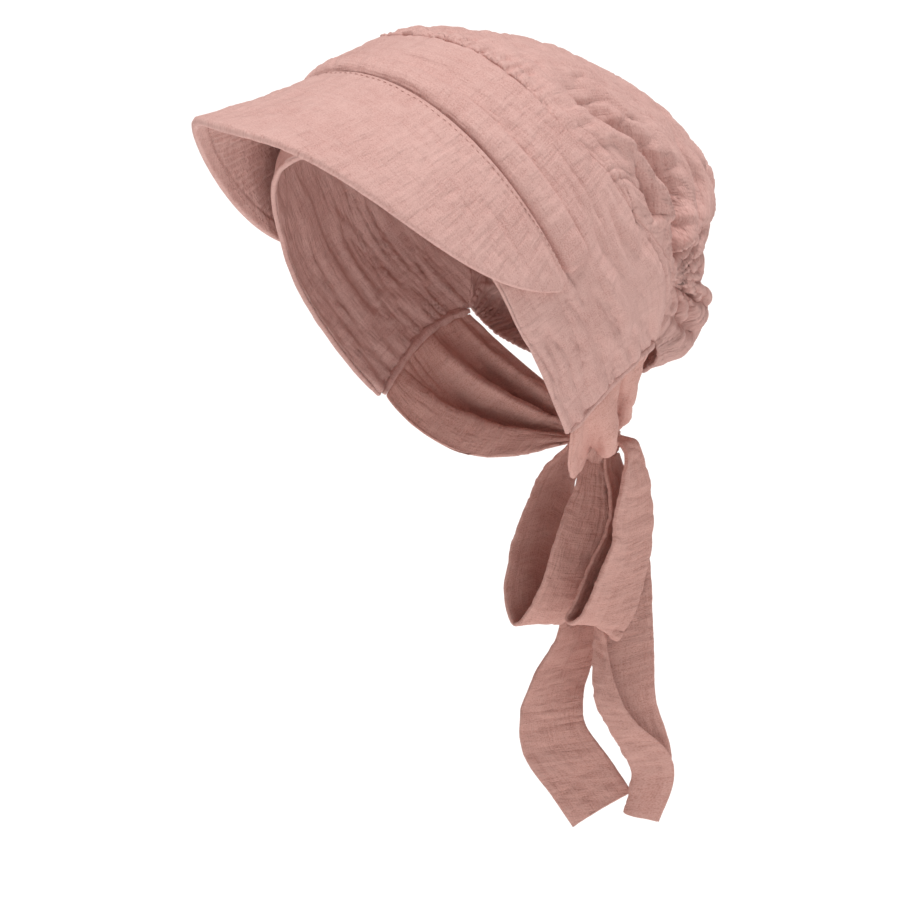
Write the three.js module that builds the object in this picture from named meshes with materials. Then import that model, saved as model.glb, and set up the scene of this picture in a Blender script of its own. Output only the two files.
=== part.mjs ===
// Muslin visor turban, worn form, in millimetres.
// +Z is up and the wearer faces -Y, so the wearer's left is +X.
// The origin is the inside top of the crown, where the cap sits on a head.
import * as THREE from 'three';
import { mergeVertices } from 'three/addons/utils/BufferGeometryUtils.js';

// The head that the cap is cut for
const headHalfWidth = 73;
const headHalfLength = 91;
const crownDepth = 98; // from the inside top down to the widest level
const headRoundness = 2.6; // power of the dome: 2 is an ellipsoid
const napeNarrowing = 0.3; // share of its size the form loses over napeReach
const napeReach = 80;
const neckDepth = 1.6; // times napeReach, where the narrowing ends

// Cloth, padding and the room between pieces
const panelWall = 2;
const bagWall = 1.6;
const tieWall = 1.6;
const visorWall = 3.4;
const padThickness = 4;
const weltRadius = 2.2;
const edgeInset = 0.03; // share of the lower edge left free at each end of welt and root
const clearance = 0.3;
const seamGap = 0.5; // from the panel's rear seam to the gathered edge of the bag

// Front panel
const browDrop = 46; // front edge over the brow, below the inside top
const cornerDrop = 168; // front lower corner behind the jaw
const rearCornerDrop = 135; // rear lower corner at the waist of the bag
const rearCornerBack = 62; // the same corner behind the middle of the head
const cornerStand = 7; // how far the rear corner stands off the head
const edgeBow = 8; // rise of the sloping lower edge between its corners

// Visor
const seamTopDrop = 15.5; // join of visor and panel over the brow
const seamEndDrop = 100.5; // the same join at its temple ends
const seamHalfSpan = 74;
const seamEndBack = 16; // how far ahead of the ears the join ends
const seamRise = 49; // how far the join runs forward from its ends
const rimTopDrop = 29.5;
const rimEndDrop = 101;
const rimReach = 124; // how far the rim runs ahead of its ends
const rimTilt = 4; // how far the rim hangs lower on the left and higher on the right
const visorSag = 1; // how far the visor hollows between its join and its rim
const visorTurn = 87; // degrees of the oval, from the middle to a visor or strip end
const bandWidth = 13; // of the padded strip, over the brow
const bandEndWidth = 17;

// Crown bag, as places on its middle line
const seamBack = -30; // rear seam on the middle line
const bagBack = 121; // furthest reach of the bag behind the head's middle
const bagWidestDrop = 62;
const waistBack = 109;
const waistDrop = 110;
const puffBack = 121;
const puffDrop = 129;
const hemBack = 79;
const hemDrop = 158;
const foldDepth = 9; // of the folds at the waist
const foldRun = 0.3; // share of the bag's length over which they turn shallow
const foldShallow = 0.4; // share of their depth left beyond that
const bagLength = 300; // of its cloth from the seam to the hem, over the back
const bagHalfAround = 165; // of its cloth from the middle line to one side
const cornerAt = 0.68; // share of its length at which the side folds run together
const cornerGather = 60; // distance from that corner at which they are full

// Ties and bow
const knotBack = 87;
const knotDrop = 193;
const knotHalfWidth = 11;
const knotHalfDepth = 10;
const knotHalfHeight = 12;
const knotCrease = 0.04; // depth of the knot's wraps as a share of its size
const knotWraps = 6; // ridges round the knot
const knotTwist = 3; // radians by which they turn from its top to its middle
const knotStand = 0.9; // from the knot's surface to the middle of a cloth end
const rootEndWidth = 17; // of a tie root where it enters the knot
const tieWidth = 44;
const bendRadius = 2.6; // of a lengthwise fold
const loopSpread = 26;
const loopDrop = 90;
const tailDrop = 182;
const tailSpread = 30;

// Edges of the front panel from the middle (at 0) to the corner (at 1).
// side and back are shares of the head's half width and half length, fall is a share of
// the way from the edge's top to its corner.
const frontEdge = [
  { at: 0, side: 0, back: -0.95, fall: 0 },
  { at: 0.12, side: 0.3, back: -0.92, fall: 0.03 },
  { at: 0.24, side: 0.55, back: -0.82, fall: 0.12 },
  { at: 0.39, side: 0.77, back: -0.66, fall: 0.27 },
  { at: 0.51, side: 0.875, back: -0.535, fall: 0.41 },
  { at: 0.64, side: 0.91, back: -0.41, fall: 0.575 },
  { at: 0.76, side: 0.9, back: -0.26, fall: 0.73 },
  { at: 0.88, side: 0.855, back: -0.12, fall: 0.87 },
  { at: 1, side: 0.78, back: 0.03, fall: 1 },
];
const rearEdge = [
  { at: 0, side: 0, back: 0, fall: 0.004 },
  { at: 0.075, side: 0.21, back: 0.01, fall: 0.009 },
  { at: 0.15, side: 0.43, back: 0.035, fall: 0.038 },
  { at: 0.26, side: 0.7, back: 0.1, fall: 0.126 },
  { at: 0.38, side: 0.89, back: 0.22, fall: 0.258 },
  { at: 0.5, side: 0.97, back: 0.42, fall: 0.39 },
  { at: 0.6, side: 0.98, back: 0.56, fall: 0.509 },
  { at: 0.72, side: 0.93, back: 0.77, fall: 0.648 },
  { at: 0.81, side: 0.86, back: 0.91, fall: 0.733 },
  { at: 0.9, side: 0.81, back: 1.02, fall: 0.85 },
  { at: 1, side: 0.78, back: 1.02, fall: 1 },
];

// Rows of the crown bag from the seam to the nape hem: back and drop are the row's place
// on the middle line, seam is where the row starts on the panel's rear edge, and square is
// the power of its arch, 2 being an oval.
const waistAt = 0.66;
const bagRows = [
  { at: 0, seam: 0.6, back: seamBack, drop: 0, square: 2.3 },
  { at: 0.1, seam: 0.61, back: 0.03 * bagBack, drop: -0.01 * bagWidestDrop, square: 2.2 },
  { at: 0.22, seam: 0.63, back: 0.4 * bagBack, drop: 0.2 * bagWidestDrop, square: 2.1 },
  { at: 0.34, seam: 0.66, back: 0.78 * bagBack, drop: 0.55 * bagWidestDrop, square: 2.3 },
  { at: 0.46, seam: 0.7, back: bagBack, drop: bagWidestDrop, square: 2.6 },
  { at: 0.56, seam: 0.76, back: 0.97 * bagBack, drop: 0.8 * waistDrop, square: 2.8 },
  { at: waistAt, seam: 0.84, back: waistBack, drop: waistDrop, square: 2.6 },
  { at: 0.78, seam: 0.91, back: puffBack, drop: puffDrop, square: 2.9 },
  { at: 0.9, seam: 0.97, back: 0.93 * puffBack, drop: 0.96 * hemDrop, square: 2.4 },
  { at: 1, seam: 1, back: hemBack, drop: hemDrop, square: 2.2 },
];

// Folds down the back of the bag: where each meets the waist from right (-1) to left (1),
// where it fades towards the seam, its depth as a share of foldDepth, and its half width.
const backFolds = [
  { across: -0.52, fade: 0.28, depth: 0.7, half: 0.06 },
  { across: -0.33, fade: 0.2, depth: 0.8, half: 0.07 },
  { across: -0.12, fade: 0.3, depth: 0.6, half: 0.06 },
  { across: 0.08, fade: 0.24, depth: 0.8, half: 0.07 },
  { across: 0.29, fade: 0.3, depth: 0.6, half: 0.06 },
  { across: 0.5, fade: 0.2, depth: 0.7, half: 0.07 },
];

// Folds that run together at the rear corner of the panel on each side: the angle of each
// from level (up is negative) and how far it leans over at its far end, in degrees, its
// reach and half width in mm, and its depth as a share of foldDepth.
const cornerFolds = [
  { angle: -79, lean: 17, reach: 185, depth: 0.85, half: 11 },
  { angle: -58, lean: 6, reach: 130, depth: 0.5, half: 12 },
  { angle: -30, lean: 4, reach: 105, depth: 0.45, half: 13 },
  { angle: 12, lean: 0, reach: 95, depth: 0.45, half: 12 },
  { angle: 50, lean: 0, reach: 85, depth: 0.4, half: 12 },
];

// Pleats of a tie root across its width, from the front corner (0) to the rear (1):
// droop and out are shares of pleatDepth, down and away from the neck.
const pleatDepth = 15;
const rootPleats = [
  { at: 0, droop: 1.1, out: 0 },
  { at: 0.14, droop: 1.2, out: 0.35 },
  { at: 0.27, droop: 0.1, out: 0.05 },
  { at: 0.42, droop: 1.05, out: 0.15 },
  { at: 0.57, droop: 0.1, out: -0.25 },
  { at: 0.72, droop: 0.75, out: -0.15 },
  { at: 0.86, droop: 0.1, out: -0.35 },
  { at: 1, droop: 0.1, out: 0 },
];

// Centre lines of the loops and tails, measured from the middle of the knot.
// side and back are shares of the spread, drop is a share of the piece's drop, width is
// a share of tieWidth, and yaw and pitch are the heading and rise of its width in degrees.
// The ribbon is bent along its length by `bend` degrees each way, with the share `split`
// before the bend. A row at the knot gives only the direction in which the ribbon leaves.
const leftLoop = [
  { at: 0, side: 0.48, back: 0.04, drop: -0.03, width: 0.28, yaw: 106, pitch: 0, bend: 4, split: 0.5 },
  { at: 0.1, side: 0.7, back: 0.08, drop: 0.02, width: 0.36, yaw: 106, pitch: 0, bend: 4, split: 0.5 },
  { at: 0.24, side: 0.76, back: 0.09, drop: 0.27, width: 0.8, yaw: 106, pitch: 0, bend: 4, split: 0.5 },
  { at: 0.37, side: 0.75, back: 0.02, drop: 0.53, width: 0.92, yaw: 103, pitch: -6, bend: 8, split: 0.5 },
  { at: 0.46, side: 0.71, back: -0.27, drop: 0.73, width: 0.95, yaw: 98, pitch: -14, bend: 10, split: 0.5 },
  { at: 0.52, side: 0.62, back: -0.5, drop: 0.88, width: 0.88, yaw: 95, pitch: -20, bend: 8, split: 0.5 },
  { at: 0.57, side: 0.46, back: -0.56, drop: 0.93, width: 0.82, yaw: 94, pitch: -22, bend: 4, split: 0.5 },
  { at: 0.62, side: 0.37, back: -0.42, drop: 0.86, width: 0.8, yaw: 95, pitch: -18, bend: 4, split: 0.5 },
  { at: 0.8, side: 0.46, back: 0.15, drop: 0.46, width: 0.6, yaw: 100, pitch: -4, bend: 2, split: 0.5 },
  { at: 1, side: 0.37, back: 0.12, drop: 0.1, width: 0.28, yaw: 100, pitch: 0, bend: 4, split: 0.5 },
];
const rightLoop = [
  { at: 0, side: 0.12, back: -0.28, drop: 0.145, width: 0.26, yaw: 60, pitch: 0, bend: 4, split: 0.5 },
  { at: 0.12, side: 0.18, back: -0.37, drop: 0.26, width: 0.38, yaw: 62, pitch: 0, bend: 6, split: 0.5 },
  { at: 0.2, side: 0.19, back: -0.46, drop: 0.35, width: 0.5, yaw: 66, pitch: 0, bend: 8, split: 0.5 },
  { at: 0.29, side: 0.16, back: -0.68, drop: 0.5, width: 0.6, yaw: 72, pitch: -4, bend: 8, split: 0.5 },
  { at: 0.38, side: 0.04, back: -0.87, drop: 0.69, width: 0.65, yaw: 80, pitch: -8, bend: 8, split: 0.5 },
  { at: 0.46, side: -0.18, back: -1, drop: 0.86, width: 0.68, yaw: 84, pitch: -10, bend: 6, split: 0.5 },
  { at: 0.53, side: -0.46, back: -1.06, drop: 0.93, width: 0.68, yaw: 86, pitch: -10, bend: 4, split: 0.5 },
  { at: 0.62, side: -0.73, back: -0.92, drop: 0.78, width: 0.72, yaw: 88, pitch: -6, bend: 6, split: 0.5 },
  { at: 0.78, side: -0.81, back: -0.42, drop: 0.45, width: 0.75, yaw: 88, pitch: 0, bend: 8, split: 0.5 },
  { at: 0.92, side: -0.69, back: -0.12, drop: 0.16, width: 0.5, yaw: 88, pitch: 0, bend: 6, split: 0.5 },
  { at: 1, side: -0.46, back: -0.04, drop: 0.02, width: 0.28, yaw: 90, pitch: 0, bend: 4, split: 0.5 },
];
const leftTail = [
  { at: 0, side: 0.12, back: 0.21, drop: 0.067, width: 0.26, yaw: 96, pitch: 0, bend: 4, split: 0.4 },
  { at: 0.13, side: 0.19, back: 0.37, drop: 0.2, width: 0.5, yaw: 98, pitch: 0, bend: 20, split: 0.3 },
  { at: 0.3, side: 0.23, back: 0.42, drop: 0.36, width: 0.72, yaw: 112, pitch: 0, bend: 50, split: 0.22 },
  { at: 0.46, side: 0.33, back: 0.27, drop: 0.54, width: 0.9, yaw: 128, pitch: 0, bend: 72, split: 0.22 },
  { at: 0.6, side: 0.57, back: 0.13, drop: 0.68, width: 0.95, yaw: 132, pitch: 0, bend: 80, split: 0.32 },
  { at: 0.8, side: 0.73, back: 0.53, drop: 0.85, width: 1, yaw: 134, pitch: 0, bend: 80, split: 0.5 },
  { at: 1, side: 0.67, back: 0.4, drop: 0.99, width: 0.8, yaw: 130, pitch: 0, bend: 80, split: 0.5 },
];
const rightTail = [
  { at: 0, side: -0.07, back: -0.02, drop: 0.063, width: 0.3, yaw: 94, pitch: 0, bend: 4, split: 0.5 },
  { at: 0.13, side: -0.2, back: 0.13, drop: 0.2, width: 0.48, yaw: 90, pitch: 0, bend: 6, split: 0.5 },
  { at: 0.3, side: -0.37, back: 0.2, drop: 0.37, width: 0.58, yaw: 88, pitch: 0, bend: 8, split: 0.5 },
  { at: 0.46, side: -0.47, back: 0.08, drop: 0.54, width: 0.6, yaw: 80, pitch: 0, bend: 10, split: 0.5 },
  { at: 0.6, side: -0.6, back: -0.27, drop: 0.68, width: 0.68, yaw: 66, pitch: 0, bend: 12, split: 0.5 },
  { at: 0.76, side: -0.6, back: -0.27, drop: 0.8, width: 0.75, yaw: 56, pitch: 0, bend: 10, split: 0.5 },
  { at: 0.9, side: -0.33, back: 0.07, drop: 0.91, width: 0.75, yaw: 48, pitch: 0, bend: 8, split: 0.5 },
  { at: 1, side: -0.1, back: 0.33, drop: 1, width: 0.75, yaw: 44, pitch: 0, bend: 6, split: 0.5 },
];

// How finely each surface is divided
const panelGrid = { across: 32, along: 8 };
const visorGrid = { across: 30, along: 6 };
const bandGrid = { across: 26, along: 4 };
const bagGrid = { across: 44, along: 22 };
const weltGrid = { round: 8, along: 18 };
const rootGrid = { across: 20, along: 6 };
const ribbonGrid = { across: 6, along: 26 }; // six spans across: three each side of the bend

const quarter = Math.PI / 2;
const lerp = THREE.MathUtils.lerp;
const clamp = THREE.MathUtils.clamp;
const smooth = THREE.MathUtils.smoothstep;
const vec = (x, y, z) => new THREE.Vector3(x, y, z);

// Cubic reading of a table whose rows stand at growing values of `at`
function readRow(rows, at) {
  const place = clamp(at, rows[0].at, rows[rows.length - 1].at);
  let k = 0;
  while (k < rows.length - 2 && rows[k + 1].at < place) k += 1;
  const [a, b] = [rows[k], rows[k + 1]];
  const before = rows[Math.max(k - 1, 0)];
  const after = rows[Math.min(k + 2, rows.length - 1)];
  const span = b.at - a.at;
  const t = (place - a.at) / span;
  const out = {};
  for (const key of Object.keys(a)) {
    const slopeA = (b[key] - before[key]) / (b.at - before.at);
    const slopeB = (after[key] - a[key]) / (after.at - a.at);
    out[key] = (2 * t ** 3 - 3 * t ** 2 + 1) * a[key] + (t ** 3 - 2 * t ** 2 + t) * span * slopeA
      + (3 * t ** 2 - 2 * t ** 3) * b[key] + (t ** 3 - t ** 2) * span * slopeB;
  }
  return out;
}

// Pushes a point straight out from the head's middle line or centre until it stands
// `lift` off the head form
function seat(point, lift) {
  const halfWidth = headHalfWidth;
  const halfLength = headHalfLength;
  if (point.z < -crownDepth) {
    const depth = Math.min((-crownDepth - point.z) / napeReach, neckDepth);
    const narrow = 1 - napeNarrowing * depth ** 1.5;
    const r = Math.hypot(point.x / (halfWidth * narrow + lift), point.y / (halfLength * narrow + lift));
    return vec(point.x / r, point.y / r, point.z);
  }
  const rise = point.z + crownDepth;
  const r = Math.hypot(point.x / (halfWidth + lift), point.y / (halfLength + lift));
  const size = (r ** headRoundness + (rise / (crownDepth + lift)) ** headRoundness) ** (1 / headRoundness);
  return vec(point.x / size, point.y / size, rise / size - crownDepth);
}

// A closed cloth solid between an outer and an inner grid of points
function slab(outer, inner) {
  const rows = outer.length;
  const cols = outer[0].length;
  const positions = [...outer.flat(), ...inner.flat()].flatMap((p) => [p.x, p.y, p.z]);
  const top = (i, j) => i * cols + j;
  const low = (i, j) => rows * cols + i * cols + j;
  const index = [];
  const quad = (a, b, c, d) => index.push(a, b, c, a, c, d);
  for (let i = 0; i < rows - 1; i += 1) {
    for (let j = 0; j < cols - 1; j += 1) {
      quad(top(i, j), top(i + 1, j), top(i + 1, j + 1), top(i, j + 1));
      quad(low(i, j), low(i, j + 1), low(i + 1, j + 1), low(i + 1, j));
    }
  }
  for (let i = 0; i < rows - 1; i += 1) {
    quad(top(i + 1, 0), top(i, 0), low(i, 0), low(i + 1, 0));
    quad(top(i, cols - 1), top(i + 1, cols - 1), low(i + 1, cols - 1), low(i, cols - 1));
  }
  for (let j = 0; j < cols - 1; j += 1) {
    quad(top(0, j), top(0, j + 1), low(0, j + 1), low(0, j));
    quad(top(rows - 1, j + 1), top(rows - 1, j), low(rows - 1, j), low(rows - 1, j + 1));
  }
  return closedGeometry(positions, index);
}

// A geometry whose faces all point out, whichever way its grid ran
function closedGeometry(positions, index) {
  const corner = (k) => vec(...positions.slice(3 * index[k], 3 * index[k] + 3));
  let volume = 0;
  for (let k = 0; k < index.length; k += 3) {
    volume += corner(k).dot(corner(k + 1).cross(corner(k + 2)));
  }
  const geometry = new THREE.BufferGeometry();
  geometry.setAttribute('position', new THREE.Float32BufferAttribute(positions, 3));
  geometry.setIndex(volume > 0 ? index : index.toReversed());
  return geometry;
}

// Grid of points from a function of two shares: rows run from first to last along, and
// columns from side to side
function sheet(grid, pointAt) {
  return Array.from({ length: grid.along + 1 }, (_, i) => (
    Array.from({ length: grid.across + 1 }, (__, j) => pointAt(j / grid.across, i / grid.along))));
}

// Unit normals of a grid, on the side where the cross of rows and columns points
function gridNormals(points) {
  const last = points.length - 1;
  const end = points[0].length - 1;
  return points.map((row, i) => row.map((_, j) => {
    const down = points[Math.min(i + 1, last)][j].clone().sub(points[Math.max(i - 1, 0)][j]);
    const over = row[Math.min(j + 1, end)].clone().sub(row[Math.max(j - 1, 0)]);
    return down.cross(over).normalize();
  }));
}

// The grid moved along its normals by a distance given for each point
function offset(points, normals, distanceAt) {
  return points.map((row, i) => row.map((p, j) => (
    p.clone().addScaledVector(normals[i][j], distanceAt(i, j)))));
}

// Panel edges for u from -1 (right corner) to 1 (left corner)
function frontPoint(u) {
  const row = readRow(frontEdge, Math.abs(u));
  const drop = lerp(browDrop, cornerDrop, row.fall);
  return vec(Math.sign(u) * row.side * headHalfWidth, row.back * headHalfLength, -drop);
}

function rearPoint(u) {
  const row = readRow(rearEdge, Math.abs(u));
  const back = lerp(seamBack, rearCornerBack, row.back);
  return vec(Math.sign(u) * row.side * headHalfWidth, back, -rearCornerDrop * row.fall);
}

// A point of the panel's surface: v runs from the front edge (0) to the rear seam (1)
function panelPoint(u, v, lift) {
  const point = frontPoint(u).lerp(rearPoint(u), v);
  const corner = smooth(Math.abs(u), 0.75, 1);
  point.z += edgeBow * corner * Math.sin(Math.PI * clamp(v, 0, 1));
  return seat(point, lift + cornerStand * smooth(Math.abs(u), 0.55, 0.9) * smooth(v, 0.2, 1));
}

function frontPanel() {
  const face = (lift) => sheet(panelGrid, (x, y) => panelPoint(2 * x - 1, y, lift));
  return slab(face(panelWall), face(0));
}

// The join of visor and panel, as an angle from the middle (0) to an end (a quarter turn)
function joinPoint(angle, lift) {
  const drop = lerp(seamTopDrop, seamEndDrop, 1 - Math.cos(angle));
  const ahead = seamEndBack + seamRise * Math.cos(angle);
  return seat(vec(seamHalfSpan * Math.sin(angle), -ahead, -drop), lift);
}

function rimPoint(angle) {
  const fall = Math.abs(Math.sin(angle)) ** 3;
  const ahead = seamEndBack + rimReach * Math.cos(angle);
  const drop = lerp(rimTopDrop, rimEndDrop, fall) + rimTilt * Math.sin(2 * angle);
  return vec(seamHalfSpan * Math.sin(angle), -ahead, -drop);
}

const clothTop = panelWall + clearance; // the level on which visor and strip lie
const headMiddle = vec(0, 0, -crownDepth);

function visor() {
  const middle = sheet(visorGrid, (x, y) => {
    const angle = (2 * x - 1) * THREE.MathUtils.degToRad(visorTurn);
    const point = joinPoint(angle, clothTop + visorWall / 2).lerp(rimPoint(angle), y);
    point.z -= visorSag * Math.sin(Math.PI * y) * Math.cos(angle);
    const seated = seat(point, clothTop + visorWall / 2);
    return seated.distanceTo(headMiddle) > point.distanceTo(headMiddle) ? seated : point;
  });
  const normals = gridNormals(middle);
  return slab(
    offset(middle, normals, () => -visorWall / 2),
    offset(middle, normals, () => visorWall / 2),
  );
}

function visorBand() {
  const strip = (lift) => sheet(bandGrid, (x, y) => {
    const angle = (2 * x - 1) * THREE.MathUtils.degToRad(visorTurn);
    const start = joinPoint(angle, clothTop);
    const along = joinPoint(angle + 0.01, clothTop).sub(joinPoint(angle - 0.01, clothTop));
    const out = start.clone().sub(vec(0, 0, -crownDepth)).normalize();
    const rearward = along.cross(out).normalize().multiplyScalar(-1);
    const width = clearance + y * lerp(bandWidth, bandEndWidth, (2 * x - 1) ** 2);
    const swell = Math.sin(Math.PI * clamp(y, 0.08, 0.92));
    return seat(start.addScaledVector(rearward, width), clothTop + lift * swell);
  });
  return slab(strip(padThickness), strip(0));
}

// Where the bag starts, just behind the panel's rear seam
function bagStart(u) {
  return panelPoint(u, 1 + seamGap / frontPoint(u).distanceTo(rearPoint(u)), 0);
}

// Bag surface: c runs from the right side (-1) to the left (1), s from the seam to the hem
function bagPoint(c, s) {
  const row = readRow(bagRows, s);
  const side = bagStart(row.seam);
  const centre = vec(0, row.back, -row.drop);
  const mid = vec(0, side.y, side.z);
  const bend = 2 / row.square;
  const angle = c * quarter;
  const point = mid.clone().lerp(centre, Math.abs(Math.cos(angle)) ** bend);
  point.x = Math.sign(c) * side.x * Math.abs(Math.sin(angle)) ** bend;
  return bagStart(c * bagRows[0].seam).lerp(point, smooth(s, 0, 0.2));
}

function backFold(c, s) {
  const waist = lerp(1, foldShallow, smooth(Math.abs(s - waistAt), 0, foldRun));
  let depth = 0;
  for (const fold of backFolds) {
    const near = Math.exp(-(((c - fold.across) / fold.half) ** 2));
    depth += fold.depth * near * smooth(s, fold.fade, fold.fade + foldRun);
  }
  return depth * waist;
}

function cornerFold(c, s) {
  const aside = (1 - Math.abs(c)) * bagHalfAround;
  const down = (s - cornerAt) * bagLength;
  const away = Math.hypot(aside, down);
  const angle = Math.atan2(down, aside);
  let depth = 0;
  for (const fold of cornerFolds) {
    const lean = fold.lean * smooth(away, 0.6 * fold.reach, fold.reach);
    const beside = away * (angle - THREE.MathUtils.degToRad(fold.angle + lean));
    const near = Math.exp(-((beside / fold.half) ** 2));
    depth += fold.depth * near * (1 - smooth(away, 0.7 * fold.reach, fold.reach));
  }
  return depth * smooth(away, 0, cornerGather);
}

function bagFold(c, s) {
  const edges = smooth(1 - Math.abs(c), 0, 0.08) * smooth(1 - s, 0, 0.06) * smooth(s, 0.02, 0.12);
  return foldDepth * (backFold(c, s) + cornerFold(c, s)) * edges;
}

function crownBag() {
  const base = sheet(bagGrid, (x, y) => bagPoint(2 * x - 1, y));
  const outward = gridNormals(base).map((row) => row.map((n) => n.multiplyScalar(-1)));
  const folded = offset(base, outward, (i, j) => (
    -bagFold((2 * j) / bagGrid.across - 1, i / bagGrid.along)));
  const normals = gridNormals(folded).map((row, i) => row.map((n, j) => {
    const edge = Math.min(i / 2, j / 2, (bagGrid.across - j) / 2, 1);
    const radial = folded[i][j].clone().sub(vec(0, 0, Math.min(-crownDepth, folded[i][j].z))).normalize();
    return radial.lerp(n.multiplyScalar(-1), edge).normalize();
  }));
  return slab(offset(folded, normals, () => bagWall), folded);
}

// The sloping lower edge of the panel on one side (1 is left), `below` it by a distance
function lowerEdge(side, v, below) {
  const edge = panelPoint(side, v, panelWall / 2);
  const out = edge.clone().sub(panelPoint(0.98 * side, v, panelWall / 2)).normalize();
  return edge.addScaledVector(out, below);
}

// A closed round bar whose middle runs through the given points
function roundBar(points, radiusAt, sides) {
  const rings = points.map((p, i) => {
    const along = points[Math.min(i + 1, points.length - 1)].clone().sub(points[Math.max(i - 1, 0)]);
    const over = vec(0, 0, 1).cross(along).normalize();
    const up = along.clone().cross(over).normalize();
    return Array.from({ length: sides }, (_, k) => {
      const turn = (2 * Math.PI * k) / sides;
      const radius = radiusAt(i / (points.length - 1));
      return p.clone().addScaledVector(over, radius * Math.cos(turn))
        .addScaledVector(up, radius * Math.sin(turn));
    });
  });
  const ends = [points[0], points[points.length - 1]];
  const positions = [...rings.flat(), ...ends].flatMap((p) => [p.x, p.y, p.z]);
  const first = rings.length * sides;
  const last = (rings.length - 1) * sides;
  const index = [];
  for (let k = 0; k < sides; k += 1) {
    const next = (k + 1) % sides;
    for (let i = 0; i < rings.length - 1; i += 1) {
      const [a, b] = [i * sides + k, i * sides + next];
      index.push(a, b, b + sides, a, b + sides, a + sides);
    }
    index.push(first, next, k, first + 1, last + k, last + next);
  }
  return closedGeometry(positions, index);
}

function edgeWelt(side) {
  const points = Array.from({ length: weltGrid.along + 1 }, (_, i) => (
    lowerEdge(side, lerp(edgeInset, 1 - edgeInset, i / weltGrid.along), weltRadius + clearance)));
  const taper = (t) => weltRadius * lerp(0.5, 1, smooth(Math.min(t, 1 - t), 0, 0.08));
  return roundBar(points, taper, weltGrid.round);
}

const knot = vec(0, knotBack, -knotDrop);

// A point of the knot's surface for a direction on the unit ball
function knotSurface(p) {
  const wrap = 1 + knotCrease * Math.cos(knotWraps * Math.atan2(p.y, p.x) + knotTwist * p.z);
  const reach = vec(knotHalfWidth * wrap, knotHalfDepth * wrap, knotHalfHeight);
  return knot.clone().add(reach.multiply(p));
}

// Where a cloth end stands clear of the knot, on the line from the knot's middle to a point
function knotSeat(point) {
  const away = point.clone().sub(knot);
  const ball = vec(away.x / knotHalfWidth, away.y / knotHalfDepth, away.z / knotHalfHeight).normalize();
  const reach = knotSurface(ball).distanceTo(knot) + knotStand;
  return knot.clone().addScaledVector(away.normalize(), reach);
}

function bowKnot() {
  const ball = new THREE.SphereGeometry(1, 16, 10);
  ball.deleteAttribute('normal');
  ball.deleteAttribute('uv');
  const geometry = mergeVertices(ball, 1e-4);
  const position = geometry.getAttribute('position');
  for (let k = 0; k < position.count; k += 1) {
    const p = knotSurface(vec(position.getX(k), position.getY(k), position.getZ(k)));
    position.setXYZ(k, p.x, p.y, p.z);
  }
  return geometry;
}

// The pleated start of a tie: x runs from the front corner (0) to the rear (1) of the
// panel's lower edge, y from the welt (0) to the knot (1)
function tieRoot(side) {
  const root = (x) => lowerEdge(side, lerp(edgeInset, 1 - edgeInset, x), 2 * (weltRadius + clearance));
  const toward = root(0.5).sub(knot).normalize();
  const across = root(1).sub(root(0));
  across.addScaledVector(toward, -across.dot(toward)).normalize();
  const away = vec(side * Math.abs(toward.y), Math.abs(toward.x), 0).normalize();
  const middle = sheet(rootGrid, (x, y) => {
    const end = knotSeat(root(0.5)).addScaledVector(across, (x - 0.5) * rootEndWidth);
    const pleat = readRow(rootPleats, x);
    const bulge = pleatDepth * Math.sin(Math.PI * y ** 0.8);
    return root(x).lerp(end, y).addScaledVector(away, pleat.out * bulge)
      .add(vec(0, 0, -pleat.droop * bulge));
  });
  const normals = gridNormals(middle);
  return slab(
    offset(middle, normals, () => tieWall / 2),
    offset(middle, normals, () => -tieWall / 2),
  );
}

// Cross-section of a ribbon bent along its length: how far a point `run` from the bend
// lies sideways and how far behind the bend
function bentSection(run, bend) {
  const arc = bendRadius * bend;
  const beyond = Math.max(Math.abs(run) - arc, 0);
  const turn = Math.min(Math.abs(run) / bendRadius, bend);
  return {
    aside: Math.sign(run) * (bendRadius * Math.sin(turn) + beyond * Math.cos(bend)),
    behind: bendRadius * (1 - Math.cos(turn)) + beyond * Math.sin(bend),
  };
}

// A ribbon along a table's centre line. A loop returns to the knot, a tail hangs free.
function ribbon(rows, spread, drop, returns) {
  const free = (t) => {
    const row = readRow(rows, t);
    return knot.clone().add(vec(row.side * spread, row.back * spread, -row.drop * drop));
  };
  const pull = [0, 1].map((end) => knotSeat(free(end)).sub(free(end)));
  if (!returns) pull[1].set(0, 0, 0);
  const centre = (t) => free(t).addScaledVector(pull[0], 1 - smooth(t, 0, 0.12))
    .addScaledVector(pull[1], smooth(t, 0.88, 1));
  const middle = sheet(ribbonGrid, (x, t) => {
    const row = readRow(rows, t);
    const yaw = THREE.MathUtils.degToRad(row.yaw);
    const bend = THREE.MathUtils.degToRad(row.bend);
    const rise = Math.tan(THREE.MathUtils.degToRad(row.pitch));
    const over = vec(Math.cos(yaw), Math.sin(yaw), rise);
    const along = centre(Math.min(t + 0.01, 1)).sub(centre(Math.max(t - 0.01, 0))).normalize();
    over.addScaledVector(along, -over.dot(along)).normalize();
    const face = along.clone().cross(over);
    const [before, after] = [row.split * row.width * tieWidth, (1 - row.split) * row.width * tieWidth];
    const arc = bendRadius * bend;
    const runs = [-before, -(before + arc) / 2, -arc, 0, arc, (after + arc) / 2, after];
    const place = bentSection(runs[Math.round(x * ribbonGrid.across)], bend);
    const ends = [bentSection(-before, bend), bentSection(after, bend)];
    const middleAside = (ends[0].aside + ends[1].aside) / 2;
    return centre(t).addScaledVector(over, place.aside - middleAside)
      .addScaledVector(face, place.behind - Math.max(ends[0].behind, ends[1].behind) / 2);
  });
  const normals = gridNormals(middle);
  return slab(
    offset(middle, normals, () => tieWall / 2),
    offset(middle, normals, () => -tieWall / 2),
  );
}

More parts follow.
